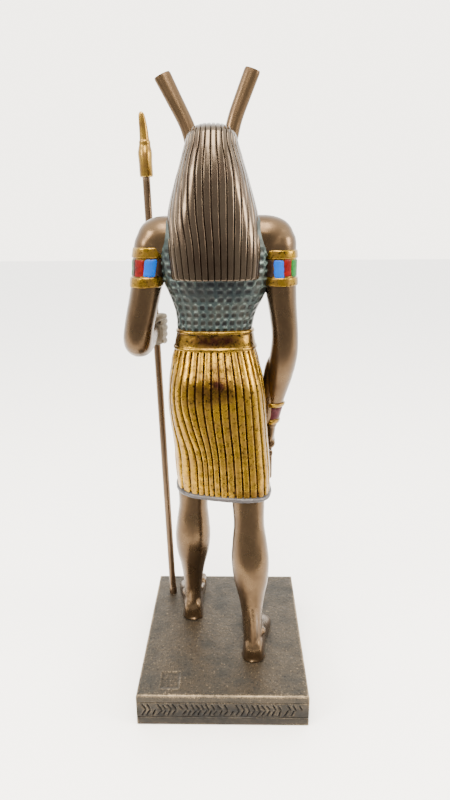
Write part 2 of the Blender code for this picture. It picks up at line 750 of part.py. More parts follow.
def figure(bronze):
    """The figure: all its lumps fused, with the sceptre's hole through the fist."""
    body = trunk("figure", TORSO, 1, plain())
    body.data.materials.append(bronze)
    lumps = bpy.data.collections.new("lumps")
    bpy.context.scene.collection.children.link(lumps)
    for part in figure_parts():
        bpy.context.scene.collection.objects.unlink(helper(part))
        lumps.objects.link(part)
    fuse = body.modifiers.new("fuse the lumps", "BOOLEAN")
    fuse.operation = "UNION"
    fuse.solver = "EXACT"
    fuse.operand_type = "COLLECTION"
    fuse.collection = lumps
    flatten = body.modifiers.new("join level faces", "DECIMATE")
    flatten.decimate_type = "DISSOLVE"
    flatten.angle_limit = math.radians(1.5)
    grip = PLINTH_HEIGHT + GRIP_HEIGHT * UNIT
    low, high = (sceptre_line(grip + half * GRIP_HOLE) for half in (-0.5, 0.5))
    hole = rod("grip_hole", low, high, SHAFT_RADIUS + SEAT_GAP)
    boolean(body, helper(hole), "DIFFERENCE")
    return body


def box(name, size, middle):
    """A plain box, in metres."""
    half = Vector(size) / 2
    points = [
        (middle[0] + sx * half.x, middle[1] + sy * half.y, middle[2] + sz * half.z)
        for sz in (-1, 1) for sx, sy in ((-1, -1), (1, -1), (1, 1), (-1, 1))
    ]
    faces = [(0, 3, 2, 1), (4, 5, 6, 7), (0, 1, 5, 4), (1, 2, 6, 5), (2, 3, 7, 6), (3, 0, 4, 7)]
    return add_mesh(name, points, faces, scale=1.0, lift=0.0)


def plinth(bronze):
    """The rectangular plinth: a sunk panel between two cut lines round its sides, the sceptre's socket
    and a shallow bare stamp behind the left foot."""
    half_width, half_depth = PLINTH_WIDTH / 2, PLINTH_DEPTH / 2
    # height, how far in from the plinth's side
    profile = [
        (0.0, PLINTH_EDGE),
        (PLINTH_EDGE, 0.0),
        (PANEL_BOTTOM - LINE_WIDTH, 0.0),
        (PANEL_BOTTOM, LINE_DEPTH),
        (PANEL_BOTTOM + LINE_WIDTH, PANEL_SINK),
        (PANEL_TOP - LINE_WIDTH, PANEL_SINK),
        (PANEL_TOP, LINE_DEPTH),
        (PANEL_TOP + LINE_WIDTH, 0.0),
        (PLINTH_HEIGHT - PLINTH_EDGE, 0.0),
        (PLINTH_HEIGHT, PLINTH_EDGE),
    ]
    rings = []
    for z, inset in profile:
        rings.append([
            (sx * (half_width - inset), sy * (half_depth - inset), z)
            for sx, sy in ((1, 1), (-1, 1), (-1, -1), (1, -1))
        ])
    body = loft("plinth", rings, scale=1.0, lift=0.0)
    body.data.materials.append(bronze)
    socket = rod(
        "socket",
        sceptre_line(PLINTH_HEIGHT - SOCKET_DEPTH - SEAT_GAP),
        sceptre_line(PLINTH_HEIGHT + 2 * SOCKET_DEPTH),
        FERRULE_RADIUS + SEAT_GAP,
    )
    boolean(body, helper(socket), "DIFFERENCE")
    stamp = box("stamp", (*STAMP_SIZE, 2 * STAMP_DEPTH), (*STAMP_MIDDLE, PLINTH_HEIGHT))
    boolean(body, helper(stamp), "DIFFERENCE")
    return body


def sceptre(bronze):
    """The was sceptre: ferrule, straight shaft and an animal's head with a tall crest."""
    foot = sceptre_line(PLINTH_HEIGHT - SOCKET_DEPTH)
    along = (sceptre_line(1.0) - sceptre_line(0.0)).normalized()
    side = along.cross(Vector((0, 1, 0))).normalized()
    other = along.cross(side)
    ends = FERRULE_LENGTH + SOCKET_DEPTH
    sides = 10
    # height above the head's base, radius across, radius fore and aft, shift back, shift to the left
    crown = [(0.0, SHAFT_RADIUS, SHAFT_RADIUS, 0.0, 0.0)]
    crown += [tuple(c * HEAD_UNIT for c in row) for row in SCEPTRE_CREST]
    neck = SCEPTRE_LENGTH - crown[-1][0]
    rows = [
        (0.0, FERRULE_RADIUS * 0.92, FERRULE_RADIUS * 0.92, 0.0, 0.0),
        (FERRULE_LENGTH * 0.1, FERRULE_RADIUS, FERRULE_RADIUS, 0.0, 0.0),
        (ends - FERRULE_LENGTH * 0.15, FERRULE_RADIUS, FERRULE_RADIUS, 0.0, 0.0),
        (ends, SHAFT_RADIUS, SHAFT_RADIUS, 0.0, 0.0),
    ] + [(neck + up, *rest) for up, *rest in crown]
    rings = []
    for up, a, b, shift, lean in rows:
        middle = foot + along * up + Vector((lean, shift, 0))
        rings.append([
            middle
            + side * a * math.cos(2 * math.pi * k / sides)
            + other * b * math.sin(2 * math.pi * k / sides)
            for k in range(sides)
        ])
    staff = loft("sceptre", rings, scale=1.0, lift=0.0)
    staff.data.materials.append(bronze)
    head = foot + along * (neck + 8.5 * HEAD_UNIT)
    floor = Vector((0, 0, PLINTH_HEIGHT + SEAT_GAP))
    share = HEAD_UNIT / UNIT
    stations = []
    for p, half_width, half_height in SCEPTRE_SNOUT:
        place = (head + Vector(p) * HEAD_UNIT - floor) / UNIT
        stations.append((tuple(place), half_width * share, half_height * share))
    boolean(staff, helper(tube("sceptre_snout", stations, sides=8, across=(1, 0, 0))), "UNION")
    return staff


def material(name, colour, roughness, metallic):
    made = bpy.data.materials.new(name)
    made.use_nodes = True
    shader = made.node_tree.nodes["Principled BSDF"]
    shader.inputs["Base Color"].default_value = (*colour, 1.0)
    shader.inputs["Roughness"].default_value = roughness
    shader.inputs["Metallic"].default_value = metallic
    return made


def main():
    for obj in list(bpy.data.objects):
        bpy.data.objects.remove(obj, do_unlink=True)
    figure(material("antique_bronze", (0.19, 0.13, 0.09), 0.35, 0.8))
    plinth(material("worn_bronze", (0.17, 0.14, 0.11), 0.5, 0.6))
    sceptre(material("shaft_bronze", (0.17, 0.11, 0.07), 0.4, 0.8))


main()
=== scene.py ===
# %% [markdown]
# # A cold-cast statuette of the god Seth
# The real piece is a shelf statuette, cast in resin filled with bronze powder and then painted and rubbed
# by hand. The photograph shows its back, from a little above. This lesson dresses the three packed castings,
# the figure, its plinth and its sceptre, with finer surfaces: parted tresses, sharp pleats, a scale corselet,
# painted armlets, and coats that are dark in the hollows and bright where hands have rubbed them.

# %% The frame
import math

import bpy
import numpy as np
from mathutils import Matrix, Vector


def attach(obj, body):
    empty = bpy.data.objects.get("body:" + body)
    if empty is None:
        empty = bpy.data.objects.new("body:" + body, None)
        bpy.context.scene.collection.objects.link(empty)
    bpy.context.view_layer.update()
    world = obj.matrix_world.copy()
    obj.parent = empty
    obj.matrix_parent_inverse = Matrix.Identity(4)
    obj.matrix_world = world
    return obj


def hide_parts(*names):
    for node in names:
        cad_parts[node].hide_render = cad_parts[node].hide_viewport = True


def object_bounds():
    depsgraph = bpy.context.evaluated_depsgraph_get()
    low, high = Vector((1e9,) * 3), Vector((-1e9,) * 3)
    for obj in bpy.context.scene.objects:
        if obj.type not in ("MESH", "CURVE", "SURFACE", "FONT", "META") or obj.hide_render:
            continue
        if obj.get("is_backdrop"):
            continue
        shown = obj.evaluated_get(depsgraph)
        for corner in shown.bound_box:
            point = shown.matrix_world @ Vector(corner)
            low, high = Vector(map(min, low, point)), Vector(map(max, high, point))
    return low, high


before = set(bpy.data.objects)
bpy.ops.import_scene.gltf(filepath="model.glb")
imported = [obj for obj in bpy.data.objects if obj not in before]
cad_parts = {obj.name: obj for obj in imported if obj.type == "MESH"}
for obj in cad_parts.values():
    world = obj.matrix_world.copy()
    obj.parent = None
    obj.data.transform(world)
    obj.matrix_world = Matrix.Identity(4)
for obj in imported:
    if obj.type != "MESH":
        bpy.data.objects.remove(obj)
cad_box = [list(corner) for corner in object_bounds()]
print("castings:", sorted(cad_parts), "box in mm:", [round(c * 1000, 1) for c in cad_box[1]])

# %% [markdown]
# ## Measures
# The figure is drawn in millimetres above its own ground, which lies a hair above the plinth's top. One
# function turns those numbers to metres, so every table below reads like a sculptor's height chart.

# %% Measures
MM = 0.001
PLINTH = (84.0, 101.0, 17.6)
GROUND = PLINTH[2] + 0.3
GRIP = np.array([35.8, -30.9, 163.5])
FOOT_OF_STAFF = np.array([32.0, -32.9, -0.3])


def metres(points):
    """Points of the figure, in millimetres above its ground, as metres above the floor."""
    return (np.asarray(points, float) + (0, 0, GROUND)) * MM


print(f"the figure's ground is {GROUND:.1f} mm up, and its fist grips the staff {GRIP[2]:.1f} mm above that")

# %% [markdown]
# ## Camera
# The camera stands where the photographer's phone did: behind the figure, 28 cm away and looking down
# about 17 degrees. It was fitted to the plinth's edges and the staff. A 27 mm lens on a 36 mm frame gives
# the phone's wide view, in which the plinth looks large and the ears look small.

# %% Camera
camera = bpy.data.objects.new("camera", bpy.data.cameras.new("camera"))
bpy.context.scene.collection.objects.link(camera)
camera.data.lens = 27.0
camera.data.sensor_width = 36.0
camera.data.clip_start = 0.01
camera.matrix_world = (
    Matrix.Translation((-0.006563, 0.284073, 0.239943))
    @ Matrix.Rotation(math.radians(180 + 1.0890), 4, "Z")
    @ Matrix.Rotation(math.radians(90 - 17.2876), 4, "X")
    @ Matrix.Rotation(math.radians(-0.3554), 4, "Z")
)
bpy.context.scene.camera = camera
print("camera looks along", [round(c, 3) for c in camera.matrix_world.to_quaternion() @ Vector((0, 0, -1))])

# %% [markdown]
# ## Curves and skins
# A sculptor blocks a limb out with a few sections and fairs the clay between them. Here each limb is a
# table of sections too, and a Catmull-Rom curve passes smoothly through all of them. Rings of points along
# that curve become a closed skin.


# %% Curves and skins
def fair(rows, steps):
    """Rows of numbers with `steps` intervals between each pair, on a smooth curve through them."""
    rows = np.asarray(rows, float)
    ends = np.concatenate([rows[:1], rows, rows[-1:]])
    t = (np.arange(steps) / steps).reshape(-1, *[1] * (rows.ndim - 1))
    made = []
    for a, b, c, d in zip(ends, ends[1:], ends[2:], ends[3:]):
        bend = (2 * a - 5 * b + 4 * c - d) * t**2 + (3 * b - a - 3 * c + d) * t**3
        made.append(0.5 * (2 * b + (c - a) * t + bend))
    return np.concatenate([*made, rows[-1:]])


def quads(at):
    """The four-sided faces of a grid of point numbers."""
    return np.stack([at[:-1, :-1], at[1:, :-1], at[1:, 1:], at[:-1, 1:]], -1).reshape(-1, 4)


def tube(at):
    """The four-sided faces between rings of point numbers."""
    near, far = at[:-1], at[1:]
    return np.stack([near, np.roll(near, -1, 1), np.roll(far, -1, 1), far], -1).reshape(-1, 4)


def skin(rings):
    """Points and faces of a closed skin through rings of equally many points."""
    rings = np.asarray(rings, float)
    rows, columns = rings.shape[:2]
    at = np.arange(rows * columns).reshape(rows, columns)
    points = np.concatenate([rings.reshape(-1, 3), rings[0].mean(0)[None], rings[-1].mean(0)[None]])
    first, last = len(points) - 2, len(points) - 1
    faces = tube(at).tolist()
    faces += [(b, a, first) for a, b in zip(at[0], np.roll(at[0], -1))]
    faces += [(a, b, last) for a, b in zip(at[-1], np.roll(at[-1], -1))]
    corners = points[tube(at)]
    lift = np.cross(corners[:, 2] - corners[:, 0], corners[:, 3] - corners[:, 1])
    if (corners.mean(1) * lift).sum() < 0:
        faces = [tuple(reversed(face)) for face in faces]
    return points, faces


def limb(stations, sides=28, steps=6, across=(0, 1, 0)):
    """A limb's skin: oval rings square to the line through stations of (middle, radius, radius)."""
    rows = fair([[*middle, *radii] for middle, *radii in stations], steps)
    side = np.array(across, float)
    turn = 2 * np.pi * np.arange(sides) / sides
    rings = []
    for i, row in enumerate(rows):
        along = rows[min(i + 1, len(rows) - 1), :3] - rows[max(i - 1, 0), :3]
        along /= np.linalg.norm(along)
        side = side - along * side.dot(along)
        side /= np.linalg.norm(side)
        other = np.cross(along, side)
        rings.append(row[:3] + np.outer(np.cos(turn) * row[3], side) + np.outer(np.sin(turn) * row[4], other))
    return skin(rings)


def ball(middle, radii, sides=16):
    """An egg-shaped lump."""
    turn = 2 * np.pi * np.arange(sides) / sides
    rings = []
    for rise in np.linspace(-80, 80, 9):
        c, s = np.cos(np.radians(rise)), np.sin(np.radians(rise))
        rings.append(np.stack([c * np.cos(turn), c * np.sin(turn), np.full(sides, s)], -1))
    return skin(np.array(middle, float) + np.array(rings) * np.array(radii, float))


print("a ball has", len(ball((0, 0, 0), (1, 1, 1))[1]), "faces")

# %% [markdown]
# ## Unevenness
# Nothing on a hand-finished casting is quite even. This value noise gives each point a smooth random
# number, in lumps of a chosen size in millimetres, and always the same one, so each run gives the same
# statuette.


# %% Unevenness
def lumpy(points, size, seed=0):
    """Smooth random numbers from -1 to 1 at points, in lumps of about `size`."""
    p = np.asarray(points, float) / size
    cell = np.floor(p).astype(np.int64)
    part = p - cell
    part = part * part * (3 - 2 * part)
    total = np.zeros(p.shape[:-1])
    for corner in np.ndindex(2, 2, 2):
        at = cell + corner
        mixed = at[..., 0] * 73856093 ^ at[..., 1] * 19349663 ^ at[..., 2] * 83492791 ^ (seed * 974711 + 11)
        mixed = (mixed ^ (mixed >> 13)) * 1274126177
        value = ((mixed >> 9) & 0xFFFF) / 32767.5 - 1
        total += value * np.prod(np.where(corner, part, 1 - part), axis=-1)
    return total


def outward(rings):
    """The direction square to a surface of closed rings, at each of its points."""
    round_it = np.roll(rings, -1, 1) - np.roll(rings, 1, 1)
    up_it = np.gradient(rings, axis=0)
    normal = np.cross(round_it, up_it)
    normal /= np.linalg.norm(normal, axis=2, keepdims=True) + 1e-9
    away = rings - rings.mean(1, keepdims=True)
    return normal * np.sign((normal * away).sum())


print("five places in a row:", lumpy([(k, 0, 0) for k in range(5)], 2.5).round(2))

# %% [markdown]
# ## Pieces
# Each piece becomes one mesh object that rides on the statuette and stands for the casting it belongs to.
# Patina depends on relief: dark wash stays in hollows and high places are rubbed. So each piece measures
# how far every point stands above the average of its neighbours, and keeps that as an attribute that the
# coats read. A second attribute holds painted shade: dark patches painted where a face lies in shade and
# where it reflects the dark room, such as the seat of the kilt. Lumps such as fingers are melted together by
# a fine voxel remesh, as wax is in the mould.


def averaged(values, edges, rounds):
    """Values blurred over a mesh's edges."""
    a, b = edges.T
    ties = np.bincount(edges.ravel(), minlength=len(values)).clip(1)
    for _ in range(rounds):
        near = [np.bincount(a, v[b], len(v)) + np.bincount(b, v[a], len(v)) for v in values.T]
        values = 0.5 * values + 0.5 * np.stack(near, -1) / ties[:, None]
    return values


def read(items, what, width, kind=np.float32):
    """What each vertex or edge of a mesh holds under a name, as rows of numbers."""
    values = np.empty(len(items) * width, kind)
    items.foreach_get(what, values)
    return values.reshape(-1, width)


def keep(mesh, name, values):
    """Keeps a number at each point of a mesh, for the coats to read."""
    mesh.attributes.new(name, "FLOAT", "POINT").data.foreach_set("value", values.astype(np.float32))


def keep_relief(mesh, reach, full):
    """Keeps how proud each point stands: -1 in a hollow `full` mm deep, 1 on a ridge as high."""
    spots = read(mesh.vertices, "co", 3).astype(float)
    ways = read(mesh.vertices, "normal", 3)
    edges = read(mesh.edges, "vertices", 2, np.int32)
    proud = ((spots - averaged(spots, edges, reach)) * ways).sum(1) / MM
    proud = averaged(proud[:, None], edges, 1)[:, 0]
    keep(mesh, "relief", np.clip(proud / full, -1, 1))


def keep_painted_shade(mesh, patches):
    """Keeps how much painted shade darkens each point; a patch is (middle, radii, amount) in millimetres."""
    spots = read(mesh.vertices, "co", 3).astype(float) / MM - (0, 0, GROUND)
    total = np.zeros(len(spots))
    for middle, radii, amount in patches:
        away = (((spots - middle) / radii) ** 2).sum(1)
        total += amount * np.exp(-(away**2))
    total *= 1 + 0.2 * lumpy(spots, 3.0, 71) + 0.2 * lumpy(spots, 1.2, 72)
    keep(mesh, "painted_shade", np.clip(total, 0, 1))


def joined(parts):
    """The points and faces of several skins as one list of each."""
    points, faces = [], []
    for some, more in parts:
        start = sum(len(p) for p in points)
        points.append(np.asarray(some, float))
        faces += [tuple(i + start for i in face) for face in more]
    return np.concatenate(points), faces


def melt(obj, voxel, rounds):
    """Melts an object's lumps into one skin on a grid of `voxel` mm, then eases it for some rounds."""
    remesh = obj.modifiers.new("melt", "REMESH")
    remesh.mode = "VOXEL"
    remesh.voxel_size = voxel * MM
    remesh.adaptivity = 0.0
    ease = obj.modifiers.new("ease", "SMOOTH")
    ease.factor = 0.5
    ease.iterations = rounds
    graph = bpy.context.evaluated_depsgraph_get()
    mesh = bpy.data.meshes.new_from_object(obj.evaluated_get(graph))
    mesh.name = obj.name
    obj.modifiers.clear()
    obj.data = mesh


def piece(name, parts, coat, casting, voxel=0.0, rounds=4, reach=12, full=0.3, edge=50.0, painted_shade=()):
    """An object from one or more skins, coated, riding on the statuette and standing for its casting."""
    points, faces = joined([parts] if isinstance(parts, tuple) else parts)
    mesh = bpy.data.meshes.new(name)
    mesh.from_pydata(metres(points).tolist(), [], faces)
    mesh.validate()
    obj = bpy.data.objects.new(name, mesh)
    bpy.context.scene.collection.objects.link(obj)
    if voxel:
        melt(obj, voxel, rounds)
    mesh = obj.data
    keep_relief(mesh, reach, full)
    keep_painted_shade(mesh, painted_shade)
    mesh.shade_smooth()
    mesh.set_sharp_from_angle(angle=math.radians(edge))
    mesh.materials.clear()
    mesh.materials.append(coat)
    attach(obj, "root")
    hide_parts(casting)
    print(f"{name}: {len(mesh.polygons)} faces")


# %% [markdown]
# ## Coats
# The resin is filled with bronze powder, so the bare casting already looks like metal. The maker then
# brushes on a dark wash, wipes it off the high places, and paints the dress with metallic paint. All the
# coats share one recipe: a dark colour for hollows, a field colour, a rubbed colour for ridges, cloudy
# patches where the wash dried unevenly, and specks where the paint is worn through. A relief of 0.5 is level,
# `low` is where the hollows' colour gives way to the field, and `high` where the field gives way to the
# ridges. Colours are sRGB hex values.


# %% Coats
def linear(colour):
    """An sRGB hex colour as linear red, green, blue and alpha."""
    parts = [int(colour[i : i + 2], 16) / 255 for i in (1, 3, 5)]
    return (*[c / 12.92 if c <= 0.04045 else ((c + 0.055) / 1.055) ** 2.4 for c in parts], 1.0)


def add(tree, kind, inputs=None, **settings):
    """Adds a node; an input is a number, a colour, or another node's output socket."""
    node = tree.nodes.new(kind)
    for key, value in settings.items():
        setattr(node, key, value)
    for socket, value in (inputs or {}).items():
        if isinstance(value, bpy.types.NodeSocket):
            tree.links.new(value, node.inputs[socket])
        else:
            node.inputs[socket].default_value = value
    return node


def coat(
    name, deep, field, rubbed, metallic, roughness, cloud_mm=9.0, grit_mm=0.5, fleck_mm=1.3, bump_mm=0.03,
    stain=None, stain_amount=0.4, shade_colour="#20140d", low=0.30, high=0.72, spread=0.10, flecks=0.0, shine=0.5,
):
    """A coat on a casting: colours for hollows, field and ridges, patchy with stains and fine grit, and
    darkened where shade is painted.
    """
    made = bpy.data.materials.new(name)
    made.use_nodes = True
    tree = made.node_tree
    shader = tree.nodes["Principled BSDF"]
    shader.inputs["Metallic"].default_value = metallic
    shader.inputs["Specular IOR Level"].default_value = shine
    place = add(tree, "ShaderNodeTexCoord").outputs["Object"]
    relief = add(tree, "ShaderNodeAttribute", attribute_name="relief").outputs["Fac"]
    painted_shade = add(tree, "ShaderNodeAttribute", attribute_name="painted_shade").outputs["Fac"]
    clouds = {"Vector": place, "Scale": 1 / (cloud_mm * MM), "Detail": 5.0, "Roughness": 0.6}
    cloud = add(tree, "ShaderNodeTexNoise", clouds).outputs["Fac"]
    grains = {"Vector": place, "Scale": 1 / (grit_mm * MM), "Detail": 3.0}
    grit = add(tree, "ShaderNodeTexNoise", grains).outputs["Fac"]

    level = {"Value": relief, "From Min": -1.0, "From Max": 1.0}
    height = add(tree, "ShaderNodeMapRange", level).outputs["Result"]
    scatter = add(tree, "ShaderNodeMath", {0: grit, 1: -0.5}, operation="ADD").outputs[0]
    scattered = {0: scatter, 1: spread * 2, 2: height}
    scattered = add(tree, "ShaderNodeMath", scattered, operation="MULTIPLY_ADD").outputs[0]
    ramp = add(tree, "ShaderNodeValToRGB", {"Fac": scattered})
    ramp.color_ramp.interpolation = "EASE"
    stops = ramp.color_ramp.elements
    stops[0].position, stops[0].color = max(low - 0.18, 0.0), linear(deep)
    stops[1].position, stops[1].color = min(high + 0.12, 1.0), linear(rubbed)
    for place_at in (low + 0.12, high - 0.12):
        stop = stops.new(place_at)
        stop.color = linear(field)
    colour = ramp.outputs["Color"]

    if stain:
        patches = {"Value": cloud, "From Min": 0.42, "From Max": 0.68, "To Max": stain_amount}
        patch = add(tree, "ShaderNodeMapRange", patches).outputs["Result"]
        stained = {0: patch, 6: colour, 7: linear(stain)}
        colour = add(tree, "ShaderNodeMix", stained, data_type="RGBA").outputs[2]
    # Painted shade: the colour is mixed toward a dark shade colour as far as the painted-shade attribute
    # says.
    shade_mix = {0: painted_shade, 6: colour, 7: linear(shade_colour)}
    colour = add(tree, "ShaderNodeMix", shade_mix, data_type="RGBA").outputs[2]
    if flecks:
        specks = {"Vector": place, "Scale": 1 / (fleck_mm * MM), "Detail": 6.0, "Roughness": 0.7}
        dust = add(tree, "ShaderNodeTexNoise", specks).outputs["Fac"]
        worn = {"Value": dust, "From Min": 0.54, "From Max": 0.62, "To Max": flecks}
        fleck = add(tree, "ShaderNodeMapRange", worn).outputs["Result"]
        flecked = {0: fleck, 6: colour, 7: linear(deep)}
        colour = add(tree, "ShaderNodeMix", flecked, data_type="RGBA").outputs[2]
    tree.links.new(colour, shader.inputs["Base Color"])

    dull = {"Value": cloud, "From Min": 0.3, "From Max": 0.7}
    dull |= {"To Min": roughness - 0.07, "To Max": roughness + 0.09}
    tree.links.new(add(tree, "ShaderNodeMapRange", dull).outputs["Result"], shader.inputs["Roughness"])
    bump = add(tree, "ShaderNodeBump", {"Height": grit, "Strength": 0.6, "Distance": bump_mm * MM})
    tree.links.new(bump.outputs["Normal"], shader.inputs["Normal"])
    return made


bronze = coat(
    "cold_cast_bronze_rubbed", "#1c130d", "#544330", "#8a7863", 0.92, 0.29, bump_mm=0.005,
    stain="#3e2e21", stain_amount=0.45, shade_colour="#2c2016", low=0.2, high=0.95, spread=0.03,
)
wig_bronze = coat(
    "cold_cast_bronze_dark_wash", "#040302", "#51463a", "#7a6c5a", 0.92, 0.19, bump_mm=0.02,
    stain="#2f231d", stain_amount=0.55, low=0.36, high=1.0, spread=0.02,
)
verdigris = coat(
    "verdigris_wash_on_bronze", "#05080a", "#293434", "#6b7a74", 0.5, 0.40, cloud_mm=7.0,
    stain="#35342c", stain_amount=0.6, shade_colour="#0d1319", low=0.42, high=0.84, spread=0.2,
)
gold = coat(
    "gold_paint_hand_rubbed", "#060301", "#7a5e14", "#96731c", 0.93, 0.27, cloud_mm=4.5,
    stain="#6b4f30", stain_amount=0.6, shade_colour="#2e150c", low=0.48, high=0.9, flecks=0.85,
)
gilt = coat(
    "gilt_over_brown_wash", "#120a05", "#7c6128", "#c8a95e", 0.88, 0.30, cloud_mm=3.0, bump_mm=0.015,
    stain="#4a3020", stain_amount=0.7,
)
maroon = coat(
    "maroon_wash_on_gold", "#100604", "#47241a", "#7a5a26", 0.7, 0.35, cloud_mm=4.0, stain="#5e3a17"
)
hem_grey = coat(
    "grey_paint", "#131112", "#474344", "#6b666a", 0.4, 0.45, cloud_mm=3.0, stain="#3f3a39", spread=0.3
)
stone = coat(
    "stippled_bronze_worn", "#060504", "#362e23", "#76664f", 0.7, 0.45, cloud_mm=11.0, grit_mm=0.6,
    bump_mm=0.2, stain="#21201c", stain_amount=0.8, shade_colour="#100d0a", spread=0.55, flecks=0.6,
)
dry_brush = coat(
    "pale_dry_brushed_bronze", "#2a241e", "#5f5649", "#867c6a", 0.4, 0.5, cloud_mm=3.0, stain="#4b4338"
)
staff_bronze = coat(
    "staff_bronze_satin", "#120b08", "#5a4938", "#84705c", 0.9, 0.30, cloud_mm=14.0, stain="#42332a"
)
print(len(bpy.data.materials), "materials")

# %% [markdown]
# ## Trunk sections
# The trunk is a stack of squarish ovals. Points go round each oval at equal steps of its girth, from the
# figure's left side by its back, so a share of 0.25 is the spine and 0.75 the navel.


# %% Trunk sections
def oval(half_width, front, back, power, shares):
    """Points at shares of an oval's girth."""
    turn = np.linspace(0, 2 * np.pi, 721)
    x = half_width * np.sign(np.cos(turn)) * np.abs(np.cos(turn)) ** (2 / power)
    y = (front + back) / 2 + (back - front) / 2 * np.sign(np.sin(turn)) * np.abs(np.sin(turn)) ** (2 / power)
    run = np.concatenate([[0], np.cumsum(np.hypot(np.diff(x), np.diff(y)))])
    at = np.mod(shares, 1.0) * run[-1]
    return np.interp(at, run, x), np.interp(at, run, y)


def trunk(sections, steps, shares, skew=None, twist=None):
    """Rings of the trunk through sections of (height, middle, half width, front, back, squareness)."""
    rings = []
    for z, middle, half_width, front, back, power in fair(sections, steps):
        turned = shares + (twist(z, shares) if twist else 0.0)
        x, y = oval(half_width, front, back, power, turned)
        shear = skew(z) * x / half_width if skew else 0.0
        rings.append(np.stack([middle + x, y - shear, np.full(len(x), z)], -1))
    return np.array(rings)


print("the spine of a 40 mm waist lies at", [round(float(c), 1) for c in oval(20.0, -12.0, 12.0, 2.3, 0.25)])

# %% [markdown]
# ## Corselet
# The god wears a corselet of scales: level rows of small square bowls with round corners, each inside a thin
# raised rim, and every other row a little to one side. A row is 3.6 mm high and a scale a bit over 4 mm wide.
# The bowls show from a step away, so they are pressed into the mesh. The coat is a blue-green wash over
# bronze, dark in the bowls and pale on the rims.

# %% Corselet
TORSO = [
    (164.0, 3.6, 18.0, -10.5, 11.0, 2.3),
    (170.0, 3.5, 17.8, -10.5, 10.6, 2.3),
    (178.0, 2.9, 19.0, -11.5, 11.4, 2.3),
    (186.0, 2.2, 22.3, -12.5, 13.0, 2.3),
    (194.0, 2.6, 25.2, -13.5, 14.3, 2.3),
    (204.0, 3.0, 26.6, -14.0, 15.0, 2.3),
    (213.0, 3.4, 26.0, -12.0, 14.5, 2.3),
    (219.0, 3.4, 23.0, -8.5, 12.0, 2.3),
    (222.8, 3.4, 16.0, -5.0, 8.0, 2.3),
]
ROW_HEIGHT = 3.6
FIRST_ROW = 168.3
SCALES_ROUND = 28
SQUARENESS = 3.2
RIM_HEIGHT = 0.09
BOWL_DEPTH = 0.32


def scales(rings, shares):
    """Relief of the scales at each point of the corselet."""
    z = rings[..., 2]
    row = np.floor((z - FIRST_ROW) / ROW_HEIGHT)
    up = (z - FIRST_ROW) / ROW_HEIGHT - row - 0.5 + 0.04 * lumpy(rings, 5.0, 4)
    along = shares * SCALES_ROUND + 0.12 * np.mod(row, 2) + 0.08 * lumpy(rings, 7.0, 3)
    aside = along - np.floor(along) - 0.5
    from_middle = (np.abs(aside * 1.12) ** SQUARENESS + np.abs(up * 1.12) ** SQUARENESS) ** (1 / SQUARENESS)
    rim = RIM_HEIGHT * np.exp(-(((from_middle - 0.48) / 0.06) ** 2)) * (0.5 + 0.8 * lumpy(rings, 2.2, 7))
    bowl = -BOWL_DEPTH * np.exp(-((from_middle / 0.38) ** 5))
    fade = np.clip((211.0 - z) / 8.0, 0.15, 1.0)
    return ((rim + bowl) * (1 + 0.5 * lumpy(rings, 6.0, 5)) + 0.10 * lumpy(rings, 1.3, 6)) * fade


around = np.arange(440) / 440
rings = trunk(TORSO, 25, around)
rings += outward(rings) * scales(rings, around[None, :])[..., None]
# Painted shadow cast by the wig's lower edge across the small of the back.
shadow_below_wig = ((3, 13, 189), (19, 9, 5), 0.6)
piece("corselet", skin(rings), verdigris, "figure", reach=40, full=0.2, painted_shade=[shadow_below_wig])

# %% [markdown]
# ## Kilt
# The kilt is cast with 17 pleats across the back, a bit over 4 mm apart, cut apart by narrow grooves. The
# striding legs shear it, and below the seat the pleats sweep over towards the right leg. The columns of the
# mesh run along the pleats, close together at the grooves, so each cut stays crisp with few faces. A dark
# reflection of the room is painted on the seat, and painted shade lies near the hem and down both sides.

# %% Kilt
KILT = [
    (160.8, 3.4, 19.3, -11.8, 12.6, 2.3),
    (157.6, 3.4, 20.4, -12.5, 13.8, 2.3),
    (152.5, 3.2, 21.5, -13.4, 15.9, 2.3),
    (145.0, 3.0, 22.9, -14.8, 18.6, 2.4),
    (135.0, 2.8, 23.8, -16.0, 19.6, 2.5),
    (124.0, 2.1, 23.9, -17.0, 19.2, 2.7),
    (112.0, 1.0, 23.9, -18.6, 18.4, 2.8),
    (100.0, 0.4, 24.1, -20.0, 17.5, 3.0),
    (88.0, 0.0, 23.7, -21.5, 16.6, 3.2),
]
KILT_GIRTH = 140.0
PLEATS = ((17, 0.0, 0.5), (10, 0.5, 1.0))
ACROSS_PLEAT = np.array([0, 0.03, 0.06, 0.1, 0.15, 0.22, 0.34, 0.5, 0.66, 0.78, 0.85, 0.9, 0.94, 0.97])
GROOVE_DEPTH, GROOVE_HALF_WIDTH = 1.0, 0.5
# Patches of painted shade: a painted dark reflection on the seat, then painted shade near the hem and down
# both sides.
KILT_SHADE = [
    ((4, 18, 143), (13, 14, 6), 0.7),
    ((1, 18, 151), (6, 12, 6), 0.4),
    ((-14, 18, 90), (9, 12, 2.5), 0.6),
    ((-22, 8, 120), (4, 14, 34), 0.3),
    ((26, 8, 125), (3.5, 14, 38), 0.3),
]


def stride(z):
    """How far the striding legs shear the kilt at a height."""
    return 4.6 * min(max((150.0 - z) / 66.0, 0.0), 1.0)


def sweep(z, shares):
    """How far the pleats turn with their fall, as a share of the girth."""
    fall = min(max((143.0 - z) / 40.0, 0.0), 1.0)
    fall = fall * fall * (3 - 2 * fall)
    left = np.mod(shares - 0.10 + 0.5, 1.0) - 0.5
    return fall * (0.050 * np.exp(-((left / 0.10) ** 2)) - 0.010 * np.exp(-(((shares - 0.38) / 0.06) ** 2)))


